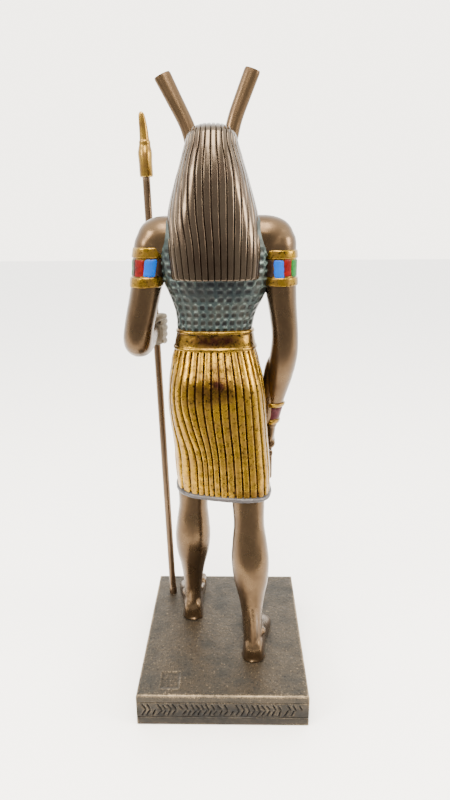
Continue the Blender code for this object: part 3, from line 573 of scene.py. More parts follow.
def pleats():
    """The kilt's rings with their pleats."""
    shares, aside = [], []
    for count, start, end in PLEATS:
        for k in range(count):
            shares.append(start + (end - start) * (k + ACROSS_PLEAT) / count)
            pitch = (end - start) * KILT_GIRTH / count
            aside.append(np.minimum(ACROSS_PLEAT, 1 - ACROSS_PLEAT) * pitch)
    shares, aside = np.concatenate(shares), np.concatenate(aside)
    rings = trunk(KILT, 18, shares, stride, sweep)
    wobble = 1 + 0.25 * lumpy(rings, 3.0, 8)
    cut = -GROOVE_DEPTH * np.exp(-((aside / GROOVE_HALF_WIDTH) ** 4)) * wobble
    crown = -0.10 * np.exp(-((aside / 1.0) ** 2))
    dents = 0.10 * lumpy(rings, 2.4, 9) + 0.16 * lumpy(rings, 9.0, 10)
    return rings + outward(rings) * (cut + crown + dents)[..., None]


piece("kilt", skin(pleats()), gold, "figure", reach=24, full=0.24, painted_shade=KILT_SHADE)

# %% [markdown]
# ## Belt and hem
# The belt is a flat band with a bead along each edge, gold, with painted shade in its middle and at both
# sides. The hem is a soft roll of cloth, painted a dull lilac grey.

# %% Belt and hem
BELT = [
    (160.2, 3.3, 18.9, -11.4, 12.2, 2.3),
    (160.5, 3.3, 19.8, -12.2, 12.9, 2.3),
    (161.2, 3.3, 20.1, -12.5, 13.1, 2.3),
    (161.9, 3.3, 19.9, -12.3, 12.9, 2.3),
    (162.4, 3.3, 19.5, -12.0, 12.6, 2.3),
    (163.4, 3.3, 19.3, -11.8, 12.4, 2.3),
    (165.8, 3.3, 18.8, -11.5, 12.0, 2.3),
    (168.1, 3.3, 18.3, -11.2, 11.6, 2.3),
    (168.6, 3.3, 18.6, -11.5, 11.8, 2.3),
    (169.3, 3.3, 18.6, -11.5, 11.7, 2.3),
    (169.8, 3.3, 18.2, -11.1, 11.4, 2.3),
    (170.1, 3.3, 17.0, -10.1, 10.4, 2.3),
]
HEM = [
    (88.9, 0.0, 23.2, -20.8, 15.9, 3.2),
    (88.3, 0.0, 24.1, -21.7, 16.9, 3.2),
    (87.4, 0.0, 24.5, -22.1, 17.3, 3.2),
    (86.6, 0.0, 24.3, -21.9, 17.1, 3.2),
    (86.1, 0.0, 23.6, -21.3, 16.4, 3.2),
    (85.9, 0.0, 22.2, -19.8, 14.8, 3.2),
]
# Painted shade in the belt's middle and at both sides.
BELT_SHADE = [
    ((3, 12, 165.6), (13, 9, 2.9), 1.0),
    ((-15.5, 8, 165), (3, 9, 6), 0.4),
    ((22, 8, 165), (3, 9, 6), 0.4),
]
around = np.arange(240) / 240
rings = trunk(BELT, 4, around)
rings += outward(rings) * (0.16 * lumpy(rings, 4.0, 12) + 0.06 * lumpy(rings, 1.5, 13))[..., None]
piece("belt", skin(rings), gold, "figure", reach=10, painted_shade=BELT_SHADE)
rings = trunk(HEM, 4, around, stride)
rings += outward(rings) * (0.2 * lumpy(rings, 5.0, 14) + 0.1 * lumpy(rings, 1.4, 18))[..., None]
piece("hem", skin(rings), hem_grey, "figure", reach=10)

# %% [markdown]
# ## Wig
# The striped wig hangs from the crown down the back in 18 tresses, 2.5 to 3 mm wide, parted by thin cuts.
# Below the ears its sections are level half ovals. Over the crown they turn about a line between the ears.
# The rings are first made without cuts, then faired, and only then cut, so the cuts follow the head. They
# run out over the brow.

# %% Wig
HOOD = [
    (193.6, 2.7, 18.3, 9.4, 17.5),
    (193.9, 2.7, 19.4, 9.0, 18.5),
    (196.4, 2.7, 20.0, 8.4, 18.8),
    (209.0, 3.1, 21.0, 6.5, 17.9),
    (221.5, 3.8, 20.3, 1.0, 17.0),
    (235.5, 4.0, 16.9, -4.0, 16.3),
    (243.5, 4.0, 14.3, -4.0, 15.4),
    (250.0, 4.0, 12.2, -1.0, 13.9),
]
BROW = np.array([3.9, -2.5, 250.0])
CROWN = [(26.0, 11.6, 14.5), (52.0, 11.3, 11.4), (78.0, 11.0, 9.0), (106.0, 10.7, 8.4), (138.0, 10.2, 9.8)]
TRESSES = 18
ACROSS_TRESS = np.array([0, 0.05, 0.1, 0.16, 0.26, 0.42, 0.58, 0.74, 0.84, 0.9, 0.95])
CUT_DEPTH, CUT_SHARE = 0.75, 0.088
CROWN_START = 1.5
BROW_RINGS = 12
# Painted shade down the middle of the wig's lower back; the flanks stay lighter.
WIG_MIDDLE_SHADE = ((4, 18, 204), (10, 12, 15), 0.5)


def arch(half_width, reach, power, shares):
    """Half an oval from its left end to its right one, at shares of its length."""
    turn = np.linspace(0, np.pi, 361)
    x = half_width * np.sign(np.cos(turn)) * np.abs(np.cos(turn)) ** (2 / power)
    y = reach * np.abs(np.sin(turn)) ** (2 / power)
    run = np.concatenate([[0], np.cumsum(np.hypot(np.diff(x), np.diff(y)))])
    return np.interp(shares * run[-1], run, x), np.interp(shares * run[-1], run, y)


def wig():
    """The wig's rings with the cuts between its tresses."""
    shares = np.append(np.concatenate([(k + ACROSS_TRESS) / TRESSES for k in range(TRESSES)]), 1.0)
    aside = np.append(np.tile(np.minimum(ACROSS_TRESS, 1 - ACROSS_TRESS), TRESSES), 0.0)
    rings = []
    for z, middle, half_width, chord, back in HOOD:
        x, reach = arch(half_width, back - chord, 2.6, shares)
        rings.append(np.stack([middle + x, chord + reach, np.full(len(x), z)], -1))
    for lift, half_width, reach in CROWN:
        out = np.array([0, math.cos(math.radians(lift)), math.sin(math.radians(lift))])
        x, rise = arch(half_width, reach - CROWN_START, 2.5, shares)
        rings.append(BROW + np.outer(x, (1, 0, 0)) + np.outer(CROWN_START + rise, out))
    rings = fair(rings, 10)
    normal = np.cross(np.gradient(rings, axis=1), np.gradient(rings, axis=0))
    normal /= np.linalg.norm(normal, axis=2, keepdims=True) + 1e-9
    normal *= np.sign((normal * (rings - rings.mean(1, keepdims=True))).sum())
    sides = np.clip(np.minimum(shares, 1 - shares) * 20, 0.3, 1)
    brow = np.clip((len(rings) - 1 - np.arange(len(rings))) / BROW_RINGS, 0, 1)[:, None] ** 0.5
    cut = -CUT_DEPTH * np.exp(-((aside / CUT_SHARE) ** 4)) * sides * brow * (1 + 0.2 * lumpy(rings, 5.0, 15))
    crown = 0.05 * (1 - np.exp(-((aside / 0.3) ** 2)))
    hair = 0.02 * lumpy(rings * (1, 1, 0.2), 0.9, 16) + 0.10 * lumpy(rings, 6.0, 17)
    return rings + normal * (cut + crown + hair)[..., None]


piece("wig", skin(wig()), wig_bronze, "figure", reach=7, full=0.45, painted_shade=[WIG_MIDDLE_SHADE])

# %% [markdown]
# ## Arms
# Both arms are bare bronze. The left one bends at the elbow and its fist holds the staff; the right one
# hangs down to a fist on the thigh. Shoulder, arm, palm and fingers are separate lumps that the remesh
# melts together, which gives the soft fillets of a casting.

# %% Arms
SHOULDER_LEFT = [
    ((8.0, 1.0, 211.0), 7.0, 7.0),
    ((19.0, 1.0, 212.2), 8.6, 8.8),
    ((27.0, 1.0, 211.6), 9.0, 9.5),
    ((32.4, 1.0, 210.9), 7.8, 8.2),
    ((36.2, 1.0, 209.9), 4.6, 5.2),
]
SHOULDER_RIGHT = [
    ((0.0, 1.0, 211.0), 7.0, 7.0),
    ((-12.0, 1.0, 212.2), 8.6, 8.8),
    ((-20.6, 1.0, 211.6), 9.0, 9.7),
    ((-26.4, 1.0, 210.9), 7.8, 8.6),
    ((-30.6, 1.0, 209.7), 4.8, 5.6),
]
ARM_LEFT = [
    ((31.0, 1.0, 214.0), 5.5, 5.0),
    ((31.8, 1.0, 210.0), 8.4, 7.6),
    ((32.9, 1.0, 203.0), 8.6, 7.9),
    ((34.1, 1.2, 195.0), 8.2, 7.4),
    ((36.6, 1.8, 183.0), 7.8, 7.1),
    ((39.1, 2.2, 172.0), 7.3, 7.0),
    ((40.6, -0.4, 163.0), 7.0, 7.0),
    ((39.6, -9.0, 161.0), 6.0, 6.0),
    ((38.0, -20.0, 162.8), 4.6, 4.5),
    ((37.9, -26.5, 163.4), 4.4, 3.9),
]
ARM_RIGHT = [
    ((-24.8, 1.0, 214.0), 5.5, 5.0),
    ((-25.6, 1.0, 210.0), 8.4, 7.8),
    ((-26.4, 1.0, 203.0), 8.6, 8.1),
    ((-26.8, 1.2, 195.0), 8.2, 7.8),
    ((-28.4, 2.2, 181.0), 7.6, 6.7),
    ((-29.8, 2.6, 168.0), 7.0, 6.3),
    ((-29.7, 1.4, 158.0), 6.8, 6.6),
    ((-28.2, -2.0, 147.5), 6.4, 6.6),
    ((-26.5, -6.0, 136.0), 5.3, 5.4),
    ((-25.4, -9.2, 125.5), 4.5, 4.1),
    ((-24.4, -11.4, 117.0), 5.2, 3.4),
]


def finger(middle, radius, thickness, start, end, u, v):
    """A finger bent round an arc in the plane of u and v."""
    stations = []
    for i in range(7):
        t = math.radians(start + (end - start) * i / 6)
        p = np.array(middle) + (np.array(u) * math.cos(t) + np.array(v) * math.sin(t)) * radius
        tip = (0.6, 0.95, 1.04, 0.94, 1.04, 0.92, 0.55)[i]
        stations.append((tuple(p), thickness * tip, thickness * tip))
    return limb(stations, sides=14, steps=4, across=tuple(np.cross(u, v)))


def left_fist():
    """Four fingers round the staff, the palm outside them and the thumb over them."""
    def near(*p):
        return tuple(GRIP + np.array(p))

    palm = [
        (near(1.6, 5.0, 0.4), 3.2, 4.6),
        (near(3.2, 1.8, 0.0), 3.1, 7.0),
        (near(3.6, -1.8, -0.6), 2.7, 7.4),
        (near(3.2, -4.6, -0.8), 1.6, 6.4),
    ]
    thumb = [
        (near(3.4, 4.4, 2.6), 2.4, 2.4),
        (near(0.4, 4.4, 5.6), 2.2, 2.2),
        (near(-3.0, 3.2, 7.2), 2.0, 2.0),
        (near(-5.8, 1.4, 7.2), 1.3, 1.3),
    ]
    core = ball(near(-0.4, 0, -0.6), (5.4, 4.9, 8.4))
    lumps = [limb(palm, 16, 4, (1, 0, 0)), limb(thumb, 14, 4, (0, 0, 1)), core]
    for n in range(4):
        middle = GRIP + (0, 0, (n - 1.5) * 3.5 - 0.9)
        girth = 1.95 - 0.12 * abs(n - 1.8)
        start, end = -13 + 4 * n, 218 + 6 * n
        lumps.append(finger(middle, 4.1 + 0.11 * n, girth + 0.15, start, end, (1, 0, 0), (0, -1, 0)))
    return lumps


def right_fist():
    """The fist at the thigh round the ankh's loop, with the web that joins the forearm to the kilt."""
    x, y, z = -23.6, -12.6, 112.5
    palm = [
        ((x - 0.6, y + 1.6, z + 7.0), 3.3, 4.6),
        ((x - 0.8, y + 0.4, z + 1.0), 2.7, 6.2),
        ((x - 0.6, y, z - 4.0), 2.2, 6.0),
    ]
    thumb = [
        ((x - 0.2, y - 3.6, z + 6.2), 2.0, 2.0),
        ((x + 0.8, y - 6.4, z + 2.4), 1.9, 1.9),
        ((x + 1.4, y - 7.2, z - 1.6), 1.2, 1.2),
    ]
    web = [
        ((-25.2, 0.0, 156.0), 2.2, 2.6),
        ((-24.8, -2.0, 149.5), 4.2, 4.2),
        ((-23.6, -6.0, 136.0), 4.4, 4.4),
        ((-22.0, -9.0, 120.0), 3.2, 4.0),
    ]
    lumps = [limb(palm, 16, 4, (1, 0, 0)), limb(thumb, 14, 4, (1, 0, 0)), limb(web, 16, 4, (1, 0, 0))]
    for n in range(4):
        middle = (x + 0.6, y + (n - 1.5) * 3.1, z - 3.0 - 0.37 * abs(n - 1.2))
        start, end = -23 + 5 * n, 196 + 4 * n
        lumps.append(finger(middle, 2.6 + 0.07 * n, 1.85 - 0.06 * n, start, end, (-1, 0, 0), (0, 0, -1)))
    return lumps


ARM_FINISH = {"voxel": 0.54, "rounds": 17, "reach": 15, "full": 1.2}
# Painted shade down the middle of each upper arm, and on the right shoulder beside the wig.
LEFT_ARM_SHADE = [((38, 9, 178), (5, 9, 20), 0.35)]
RIGHT_ARM_SHADE = [((-28, 9, 180), (5, 9, 22), 0.4), ((-19, 9, 209), (4, 9, 12), 0.4)]
left = [limb(SHOULDER_LEFT), limb(ARM_LEFT), ball((30.9, 1.0, 208.2), (8.8, 8.8, 9.8), 28)]
right = [limb(SHOULDER_RIGHT), limb(ARM_RIGHT), ball((-24.9, 1.0, 208.2), (9.5, 9.0, 10.2), 28)]
piece("arm_left", left, bronze, "figure", **ARM_FINISH, painted_shade=LEFT_ARM_SHADE)
piece("fist_left", left_fist(), dry_brush, "figure", voxel=0.3, rounds=3, full=0.24)
piece("arm_right", right, bronze, "figure", **ARM_FINISH, painted_shade=RIGHT_ARM_SHADE)
piece("fist_right", right_fist(), bronze, "figure", voxel=0.4, rounds=4, full=0.35)

# %% [markdown]
# ## Armlets and bracelet
# Each upper arm has a gold band with a sunk field, and paint flows over the field in blocks: blue next to
# the body, then dark red, then green outside. The right wrist has a narrower band with a maroon field. The
# bands are level rings that follow the arm's own sections, and a block of paint is a thin lump of its own.

# %% Armlets and bracelet
def section_at(stations, z):
    """Middle and radii of a limb's section at a height."""
    rows = fair([[*middle, *radii] for middle, *radii in stations], 24)
    return rows[np.argmin(np.abs(rows[:, 2] - z))]


def band(name, stations, low, high, profile, seed, sides=120):
    """A level gold band; profile is (share of the way up, how far it stands off the limb)."""
    turn = 2 * np.pi * np.arange(sides) / sides
    rings = []
    for share, proud in profile:
        z = low + (high - low) * share
        row = section_at(stations, z)
        rings.append(np.stack([
            row[0] + (row[4] + proud) * np.sin(turn),
            row[1] + (row[3] + proud) * np.cos(turn),
            np.full(sides, z),
        ], -1))
    rings = np.array(rings)
    dents = 0.14 * lumpy(rings, 3.0, seed) + 0.05 * lumpy(rings, 1.1, seed + 1)
    rings += outward(rings) * dents[..., None]
    piece(name, skin(fair(rings, 2)), gold, "figure", reach=8)


def rolled(rim, field, share):
    """A band's profile with a rounded rim at both edges and a sunk field between."""
    half = [(0.0, -0.8), (0.0, rim * 0.4), (0.02, rim * 0.85), (0.05, rim)]
    half += [(share - 0.07, rim), (share - 0.03, rim * 0.9), (share - 0.01, field + 0.2), (share, field)]
    middle = [(s, field) for s in np.linspace(share + 0.04, 0.96 - share, 7)]
    return half + middle + [(1 - s, p) for s, p in reversed(half)]


def dab(name, stations, low, high, start, end, paint, seed, proud=0.34):
    """A block of thick paint on a band: start and end are degrees round the arm from its back."""
    grid = np.linspace(-1, 1, 25)
    u, v = np.meshgrid(grid, grid, indexing="ij")
    square = np.maximum(np.abs(u), np.abs(v)) + 1e-9
    rounded = (np.abs(u) ** 7 + np.abs(v) ** 7 + 1e-12) ** (1 / 7)
    u, v = u * square / rounded, v * square / rounded
    edge = np.clip((1 - np.maximum(np.abs(u), np.abs(v))) * 7, 0, 1) ** 0.5
    seedling = np.stack([u * 3, v * 3, np.full_like(u, seed)], -1)
    u = u + 0.07 * lumpy(seedling, 1.3, seed) * (1 - edge * 0.5)
    v = v + 0.07 * lumpy(seedling, 1.1, seed + 3) * (1 - edge * 0.5)
    sheets = []
    for thick in (-0.35, 0.0):
        z = low + (high - low) * (v + 1) / 2
        turn = np.radians(start + (end - start) * (u + 1) / 2)
        rows = np.array([section_at(stations, h) for h in z.ravel()]).reshape(*z.shape, -1)
        rise = proud + thick
        if thick == 0.0:
            rise = proud - 0.22 + 0.22 * edge + 0.03 * lumpy(seedling, 0.5, seed + 5)
        sheets.append(np.stack([
            rows[..., 0] + (rows[..., 4] + rise) * np.sin(turn),
            rows[..., 1] + (rows[..., 3] + rise) * np.cos(turn),
            z,
        ], -1))
    size = len(grid)
    at = np.arange(size * size).reshape(size, size)
    faces = (quads(at) + size * size).tolist() + quads(at)[:, ::-1].tolist()
    rim = [*at[0, :], *at[1:, -1], *at[-1, -2::-1], *at[-2:0:-1, 0]]
    faces += [(a, b, b + size * size, a + size * size) for a, b in zip(rim, rim[1:] + rim[:1])]
    points = np.concatenate([sheet.reshape(-1, 3) for sheet in sheets])
    piece(name, (points, faces), paint, "figure", reach=4, full=0.2)


def enamel(name, dark, colour, light, streak):
    """Thick brush paint, dried satin with faint streaks."""
    return coat(
        name, dark, colour, light, 0.0, 0.35, cloud_mm=2.2, grit_mm=0.6, bump_mm=0.02,
        stain=dark, stain_amount=streak, shine=0.1,
    )


blue = enamel("brush_paint_blue", "#002a66", "#0048a4", "#0356ae", 0.15)
red = enamel("brush_paint_dark_red", "#1c0403", "#620a07", "#741610", 0.75)
green = enamel("brush_paint_green", "#0a2e10", "#145a20", "#266c30", 0.4)
purple = enamel("brush_paint_maroon", "#1c090c", "#43161c", "#6d3a40", 0.5)
field_brown = coat("brown_wash_under_paint", "#0a0503", "#33231a", "#5a4535", 0.7, 0.38, cloud_mm=3.0)

UPPER_LEFT, UPPER_RIGHT, WRIST = ARM_LEFT[1:5], ARM_RIGHT[1:5], ARM_RIGHT[7:]
LEFT_DABS = (
    ("blue", 194.6, 202.3, 8.0, -33.0, blue),
    ("red", 194.8, 202.3, 46.0, 9.6, red),
    ("brown", 194.8, 202.4, 62.0, 47.5, field_brown),
    ("green", 194.8, 202.3, 100.0, 64.0, green),
    ("shade", 194.8, 202.4, -35.0, -80.0, field_brown),
)
RIGHT_DABS = (
    ("blue", 193.8, 201.9, -10.6, 21.0, blue),
    ("red", 194.5, 202.0, -37.0, -11.6, red),
    ("green", 194.5, 202.0, -76.0, -38.6, green),
    ("shade", 194.5, 202.0, 23.0, 72.0, field_brown),
)
band("armlet_left", UPPER_LEFT, 189.7, 207.6, rolled(0.65, 0.05, 0.27), seed=20)
band("armlet_right", UPPER_RIGHT, 190.2, 206.2, rolled(0.65, 0.05, 0.25), seed=24)
for name, *place, paint in LEFT_DABS:
    dab(f"armlet_left_{name}", UPPER_LEFT, *place, paint, seed=len(name))
for name, *place, paint in RIGHT_DABS:
    dab(f"armlet_right_{name}", UPPER_RIGHT, *place, paint, seed=9 + len(name))
band("bracelet_right", WRIST, 118.7, 130.6, rolled(0.95, 0.25, 0.2), seed=28)
dab("bracelet_right_maroon", WRIST, 121.4, 128.0, -120.0, 60.0, purple, seed=31, proud=0.5)

# %% [markdown]
# ## Legs
# The left leg strides forward and the right one stands behind. Calves, tendons, ankle bones, heels and toes
# are lumps, melted together. The feet were set on the plinth before the coat went on, so a little bead of
# resin runs round each heel.

# %% Legs
LEG_AXES = {"right": ((-12.9, 8.0), (-15.3, 19.4)), "left": ((16.4, -12.0), (18.3, -14.4))}
KNEE_HEIGHT, ANKLE_HEIGHT, TENDON_HEIGHT = 80.0, 12.0, 34.0
# height, half width, how far the shin and the calf stand off the leg's axis
LEG = [
    (92.0, 8.8, 9.2, 8.0),
    (80.0, 8.2, 8.6, 7.8),
    (71.0, 7.8, 7.8, 8.6),
    (62.0, 8.8, 7.5, 10.3),
    (53.0, 9.6, 7.3, 11.0),
    (43.0, 8.9, 7.1, 9.6),
    (33.0, 6.8, 6.5, 7.2),
    (24.0, 5.5, 6.0, 5.4),
    (14.0, 4.9, 6.2, 5.0),
    (6.0, 5.0, 7.0, 6.0),
]
HEELS = {"right": ((-15.4, 27.0), -3.5), "left": ((18.0, -6.8), 2.5)}
# how far forward of the heel's back, half width, height, how far it swings to the little toe
FOOT = [
    (0.0, 3.2, 6.0, 0.0),
    (1.4, 4.9, 10.0, 0.0),
    (6.0, 5.7, 13.5, 0.0),
    (13.0, 5.6, 14.5, 0.2),
    (20.0, 6.2, 11.0, 0.5),
    (27.0, 7.7, 7.0, 0.8),
    (33.0, 8.2, 4.8, 0.7),
    (35.4, 7.4, 2.8, 0.5),
]
# how far the toe lies outside the foot's middle, its radius, how far forward its tip is
TOES = [(-5.4, 2.3, 40.5), (-1.7, 1.7, 40.0), (1.5, 1.6, 38.6), (4.4, 1.5, 37.0), (7.0, 1.4, 35.2)]
# Painted shade on the backs of the calves and behind the left knee.
LEG_SHADE = {
    "right": [((-12, 18, 66), (5, 12, 13), 0.3), ((-9, 22, 34), (4, 12, 12), 0.3)],
    "left": [((17, -5, 38), (6, 12, 16), 0.3), ((14, -5, 80), (5, 12, 8), 0.3)],
}


def leg(side):
    """Leg, foot, toes, ankle bones and tendon of one side, with the bead round its heel."""
    knee, ankle = np.array(LEG_AXES[side])

    def axis(z):
        return knee + (ankle - knee) * (KNEE_HEIGHT - z) / (KNEE_HEIGHT - ANKLE_HEIGHT)

    turn = 2 * np.pi * np.arange(40) / 40
    rings = []
    for z, half_width, shin, calf in fair(LEG, 6):
        middle = axis(z)
        x = half_width * np.cos(turn)
        y = (calf - shin) / 2 + (calf + shin) / 2 * np.sin(turn)
        rings.append(np.stack([middle[0] + x, middle[1] + y, np.full(40, z)], -1))
    lumps = [skin(rings)]
    heel, toe_out = HEELS[side]
    outside = -1 if side == "right" else 1
    c, s = math.cos(math.radians(toe_out)), math.sin(math.radians(toe_out))

    def spot(forward, sideways, up):
        x, y = outside * np.asarray(sideways, float), -np.asarray(forward, float)
        return np.stack(np.broadcast_arrays(heel[0] + c * x - s * y, heel[1] + s * x + c * y, up), -1)

    rings = []
    half = np.pi * np.arange(25) / 24
    for forward, half_width, height, swing in fair(FOOT, 4):
        across = swing + half_width * np.sign(np.cos(half)) * np.abs(np.cos(half)) ** 0.75
        rings.append(spot(forward, across, height * np.abs(np.sin(half)) ** 0.8 - 0.3))
    lumps.append(skin(rings))
    for sideways, radius, reach in TOES:
        lumps.append(limb([
            (tuple(spot(reach - 9.0, sideways, radius * 1.5)), radius * 0.9, radius * 0.9),
            (tuple(spot(reach - 4.6, sideways, radius * 1.3)), radius * 0.86, radius * 0.86),
            (tuple(spot(reach - 2.4, sideways, radius * 1.05)), radius * 1.02, radius),
            (tuple(spot(reach - 0.6, sideways, radius * 0.95)), radius * 0.8, radius * 0.8),
            (tuple(spot(reach, sideways, radius * 0.95)), radius * 0.35, radius * 0.35),
        ], 14, 4))
    top = axis(TENDON_HEIGHT)
    tendon = [((top[0], top[1] + 4.0, TENDON_HEIGHT), 2.4, 2.4)]
    tendon += [((heel[0], heel[1] - 4.3, 20.0), 1.9, 2.1), ((heel[0], heel[1] - 3.4, 9.0), 2.6, 2.4)]
    lumps.append(limb(tendon, 14, 6))
    lumps.append(ball(tuple(spot(10.5, -4.4, 13.2)), (1.7, 2.4, 2.2)))
    lumps.append(ball(tuple(spot(9.2, 4.5, 12.2)), (1.7, 2.4, 2.2)))
    lumps.append(ball(tuple(spot(4.0, 0.0, 4.8)), (5.2, 4.4, 5.2)))
    rng = np.random.default_rng(5 if side == "left" else 6)
    for angle in np.radians(np.arange(-115, 116, 9)):
        r = 5.1 + rng.uniform(-0.25, 0.35)
        size = rng.uniform(0.55, 0.95)
        at = spot(5.2 - r * math.cos(angle) * 1.05, r * math.sin(angle), 0.0)
        lumps.append(ball(tuple(at), (size * 1.5, size * 1.3, size * 0.8), 10))
    return lumps


LEG_FINISH = {"voxel": 0.55, "rounds": 6, "reach": 16, "full": 1.2}
for side in ("left", "right"):
    piece(f"leg_{side}", leg(side), bronze, "figure", **LEG_FINISH, painted_shade=LEG_SHADE[side])

# %% [markdown]
# ## Head
# From the front the god has the head of his animal: a long snout that droops like an anteater's, almond
# eyes, and tall square-ended ears with a hollow in front. The photograph shows only the ears, so the face
# is kept simple.

# %% Head
FACE = 3.6
MUZZLE = [
    ((FACE, 2.0, 243.0), 9.0, 10.5),
    ((FACE, -8.0, 243.5), 9.6, 10.8),
    ((FACE, -14.0, 242.5), 7.6, 8.8),
    ((FACE, -20.0, 240.6), 5.0, 6.0),
    ((FACE, -27.0, 237.4), 3.8, 4.4),
    ((FACE, -33.5, 232.6), 3.4, 3.6),
    ((FACE, -37.0, 228.6), 2.8, 2.6),
]
THROAT = [((FACE, -1.0, 214.0), 8.0, 7.5), ((FACE, -3.0, 238.0), 7.6, 7.5)]
EYE_Y, EYE_Z = -12.6, 245.9
EARS = {
    "left": [
        ((12.4, -3.0, 250.5), 3.5, 3.2),
        ((14.9, -3.0, 259.0), 3.3, 2.9),
        ((20.5, -3.0, 270.0), 3.5, 2.6),
        ((25.2, -3.0, 279.0), 3.8, 2.3),
    ],
    "right": [
        ((-3.6, -3.0, 250.5), 3.4, 3.2),
        ((-6.1, -3.0, 261.0), 3.3, 2.9),
        ((-9.7, -3.0, 270.5), 3.4, 2.6),
        ((-13.9, -3.0, 280.8), 3.5, 2.3),
    ],
}


def ear(stations):
    """A tall square-ended ear, hollowed in front."""
    rows = fair([[*middle, *radii] for middle, *radii in stations], 8)
    along = rows[-1, :3] - rows[0, :3]
    across = np.cross((0, -1, 0), along / np.linalg.norm(along))
    across /= np.linalg.norm(across)
    turn = 2 * np.pi * np.arange(48) / 48
    rings = []
    for i, row in enumerate(rows):
        shrink = 1.0 if i < len(rows) - 1 else 0.93
        depth = row[4] * np.sin(turn)
        front = np.clip((-np.sin(turn) - 0.3) / 0.1, 0, 1)
        depth = depth + front * row[4] * 1.2 * np.maximum(1 - (np.cos(turn) / 0.955) ** 2, 0)
        rings.append(row[:3] + np.outer(row[3] * shrink * np.cos(turn), across) + np.outer(depth, (0, 1, 0)))
    return skin(rings)


def eye(side):
    """An almond eye with a raised rim, on one side of the snout."""
    stations = []
    for k in range(13):
        t = 2 * math.pi * k / 12
        y = EYE_Y + 2.9 * math.cos(t)
        z = EYE_Z + 1.25 * math.sin(t) * (1.0 - 0.25 * math.cos(t)) + 0.3 * math.cos(t)
        x = FACE + side * (7.9 + 0.42 * (y - EYE_Y) - 0.25 * (z - EYE_Z))
        stations.append(((x, y, z), 0.42, 0.42))
    return [limb(stations, 8, 2, (1, 0, 0)), ball((FACE + side * 7.6, EYE_Y, EYE_Z), (0.75, 1.9, 0.9))]


head = [limb(MUZZLE, 36, 8, (1, 0, 0)), limb(THROAT)]
head += [ball((FACE + s * 3.0, -15.5, 247.6), (2.2, 4.6, 1.5)) for s in (-1, 1)]
head += [*eye(-1), *eye(1), ball((FACE, -36.6, 230.0), (2.3, 1.7, 1.9))]
piece("head", head, bronze, "figure", voxel=0.41, rounds=3, reach=14)
for side, stations in EARS.items():
    piece(f"ear_{side}", ear(stations), bronze, "figure", reach=6, full=1.5, edge=40)

# %% [markdown]
# ## Front dress
# The wig falls over each shoulder in a striped lappet, a broad collar lies on the chest, and a stiff apron
# hangs from the belt. The photograph doesn't show them, so they are quieter than the back.


# %% Front dress
CHEST = 3.4
# how far from the body's middle, how far back, height, half width, thickness
LAPPET = [
    (9.5, -1.0, 236.0, 4.0, 5.0),
    (12.6, -6.0, 226.0, 5.0, 4.2),
    (13.8, -11.2, 214.0, 5.4, 3.0),
    (13.6, -14.0, 202.0, 5.2, 2.4),
    (13.2, -14.0, 194.0, 5.0, 2.3),
]
# A broad patch darkens the lappets, most towards the bottom.
LAPPET_DARKENING = ((0, -15, 190), (60, 40, 60), 0.6)
# height and half width of the apron, and half its outline as shares of that and millimetres back
APRON = [(168.6, 3.4), (157.0, 3.8), (150.0, 4.2), (120.0, 5.4), (91.0, 6.4), (88.8, 6.2)]
APRON_EDGE = [(-1, 4.0), (-1, -0.7), (-0.94, -1.5), (-0.8, -1.8), (-0.6, -1.45)]


def chest_front(x, z):
    """How far forward the chest lies, x from the body's middle."""
    rows = fair(TORSO, 12)
    half_width, front, back = (np.interp(z, rows[:, 0], rows[:, i]) for i in (2, 3, 4))
    bulge = np.maximum(1 - np.abs(x / half_width) ** 2.3, 0.0) ** (1 / 2.3)
    return (front + back) / 2 - (back - front) / 2 * bulge


def lappet(side):
    """A striped fall of the wig over the front of one shoulder."""
    stations = [(CHEST + side * out, *rest) for out, *rest in LAPPET]
    rows = fair(stations, 14)
    across = np.linspace(1, -1, 49)
    rings = []
    for i, row in enumerate(rows):
        along = rows[min(i + 1, len(rows) - 1), :3] - rows[max(i - 1, 0), :3]
        out = np.cross(along / np.linalg.norm(along), (1, 0, 0))
        out /= np.linalg.norm(out)
        groove = np.abs(np.mod(across * 2 + 0.5, 1.0) - 0.5)
        rise = row[4] * (1 - 0.45 * across**4) - 0.55 * np.exp(-((groove / 0.09) ** 2))
        ring = row[:3] + np.outer(row[3] * across, (1, 0, 0)) - np.outer(rise, out)
        back = [row[:3] + np.array((s * row[3] * 0.9, 0, 0)) + out * row[4] for s in (-1, 1)]
        rings.append([*ring, *back])
    return skin(rings)


def collar():
    """The broad collar's beads in three rows, following the chest."""
    lumps = []
    for row, reach in enumerate((19.0, 15.6, 12.2)):
        stations = []
        for k in range(41):
            t = math.radians(10 + 160 * k / 40)
            x, z = reach * math.cos(t), 220.0 - reach * math.sin(t)
            stations.append(((CHEST + x, chest_front(x, z) - 0.2, z), 1.2 - 0.1 * row, 1.5))
        lumps.append(limb(stations, 12, 1, (0, -1, 0)))
    return lumps


def apron():
    """The stiff panel down the middle of the kilt's front."""
    belt_rows, kilt_rows = fair(BELT, 4), fair(KILT, 12)
    outline = APRON_EDGE + [(-x, y) for x, y in reversed(APRON_EDGE)]
    rings = []
    for z, half_width in fair(APRON, 6):
        rows = kilt_rows if z < 157 else belt_rows
        row = rows[np.argmin(np.abs(rows[:, 0] - z))]
        rings.append([(row[1] + 1.2 + x * half_width, row[3] + y, z) for x, y in outline])
    return skin(rings)


for side, name in ((1, "left"), (-1, "right")):
    piece(f"lappet_{name}", lappet(side), wig_bronze, "figure", reach=6, full=0.22, painted_shade=[LAPPET_DARKENING])
piece("collar", collar(), gold, "figure", voxel=0.42, rounds=1)
piece("apron", apron(), maroon, "figure", reach=3, full=0.2)

# %% [markdown]
# ## Ankh
# The right fist holds an ankh by its loop. From behind it shows on edge, as a thin dark bar under the hand.

# %% Ankh
hang_x, hang_y = -24.6, -12.6
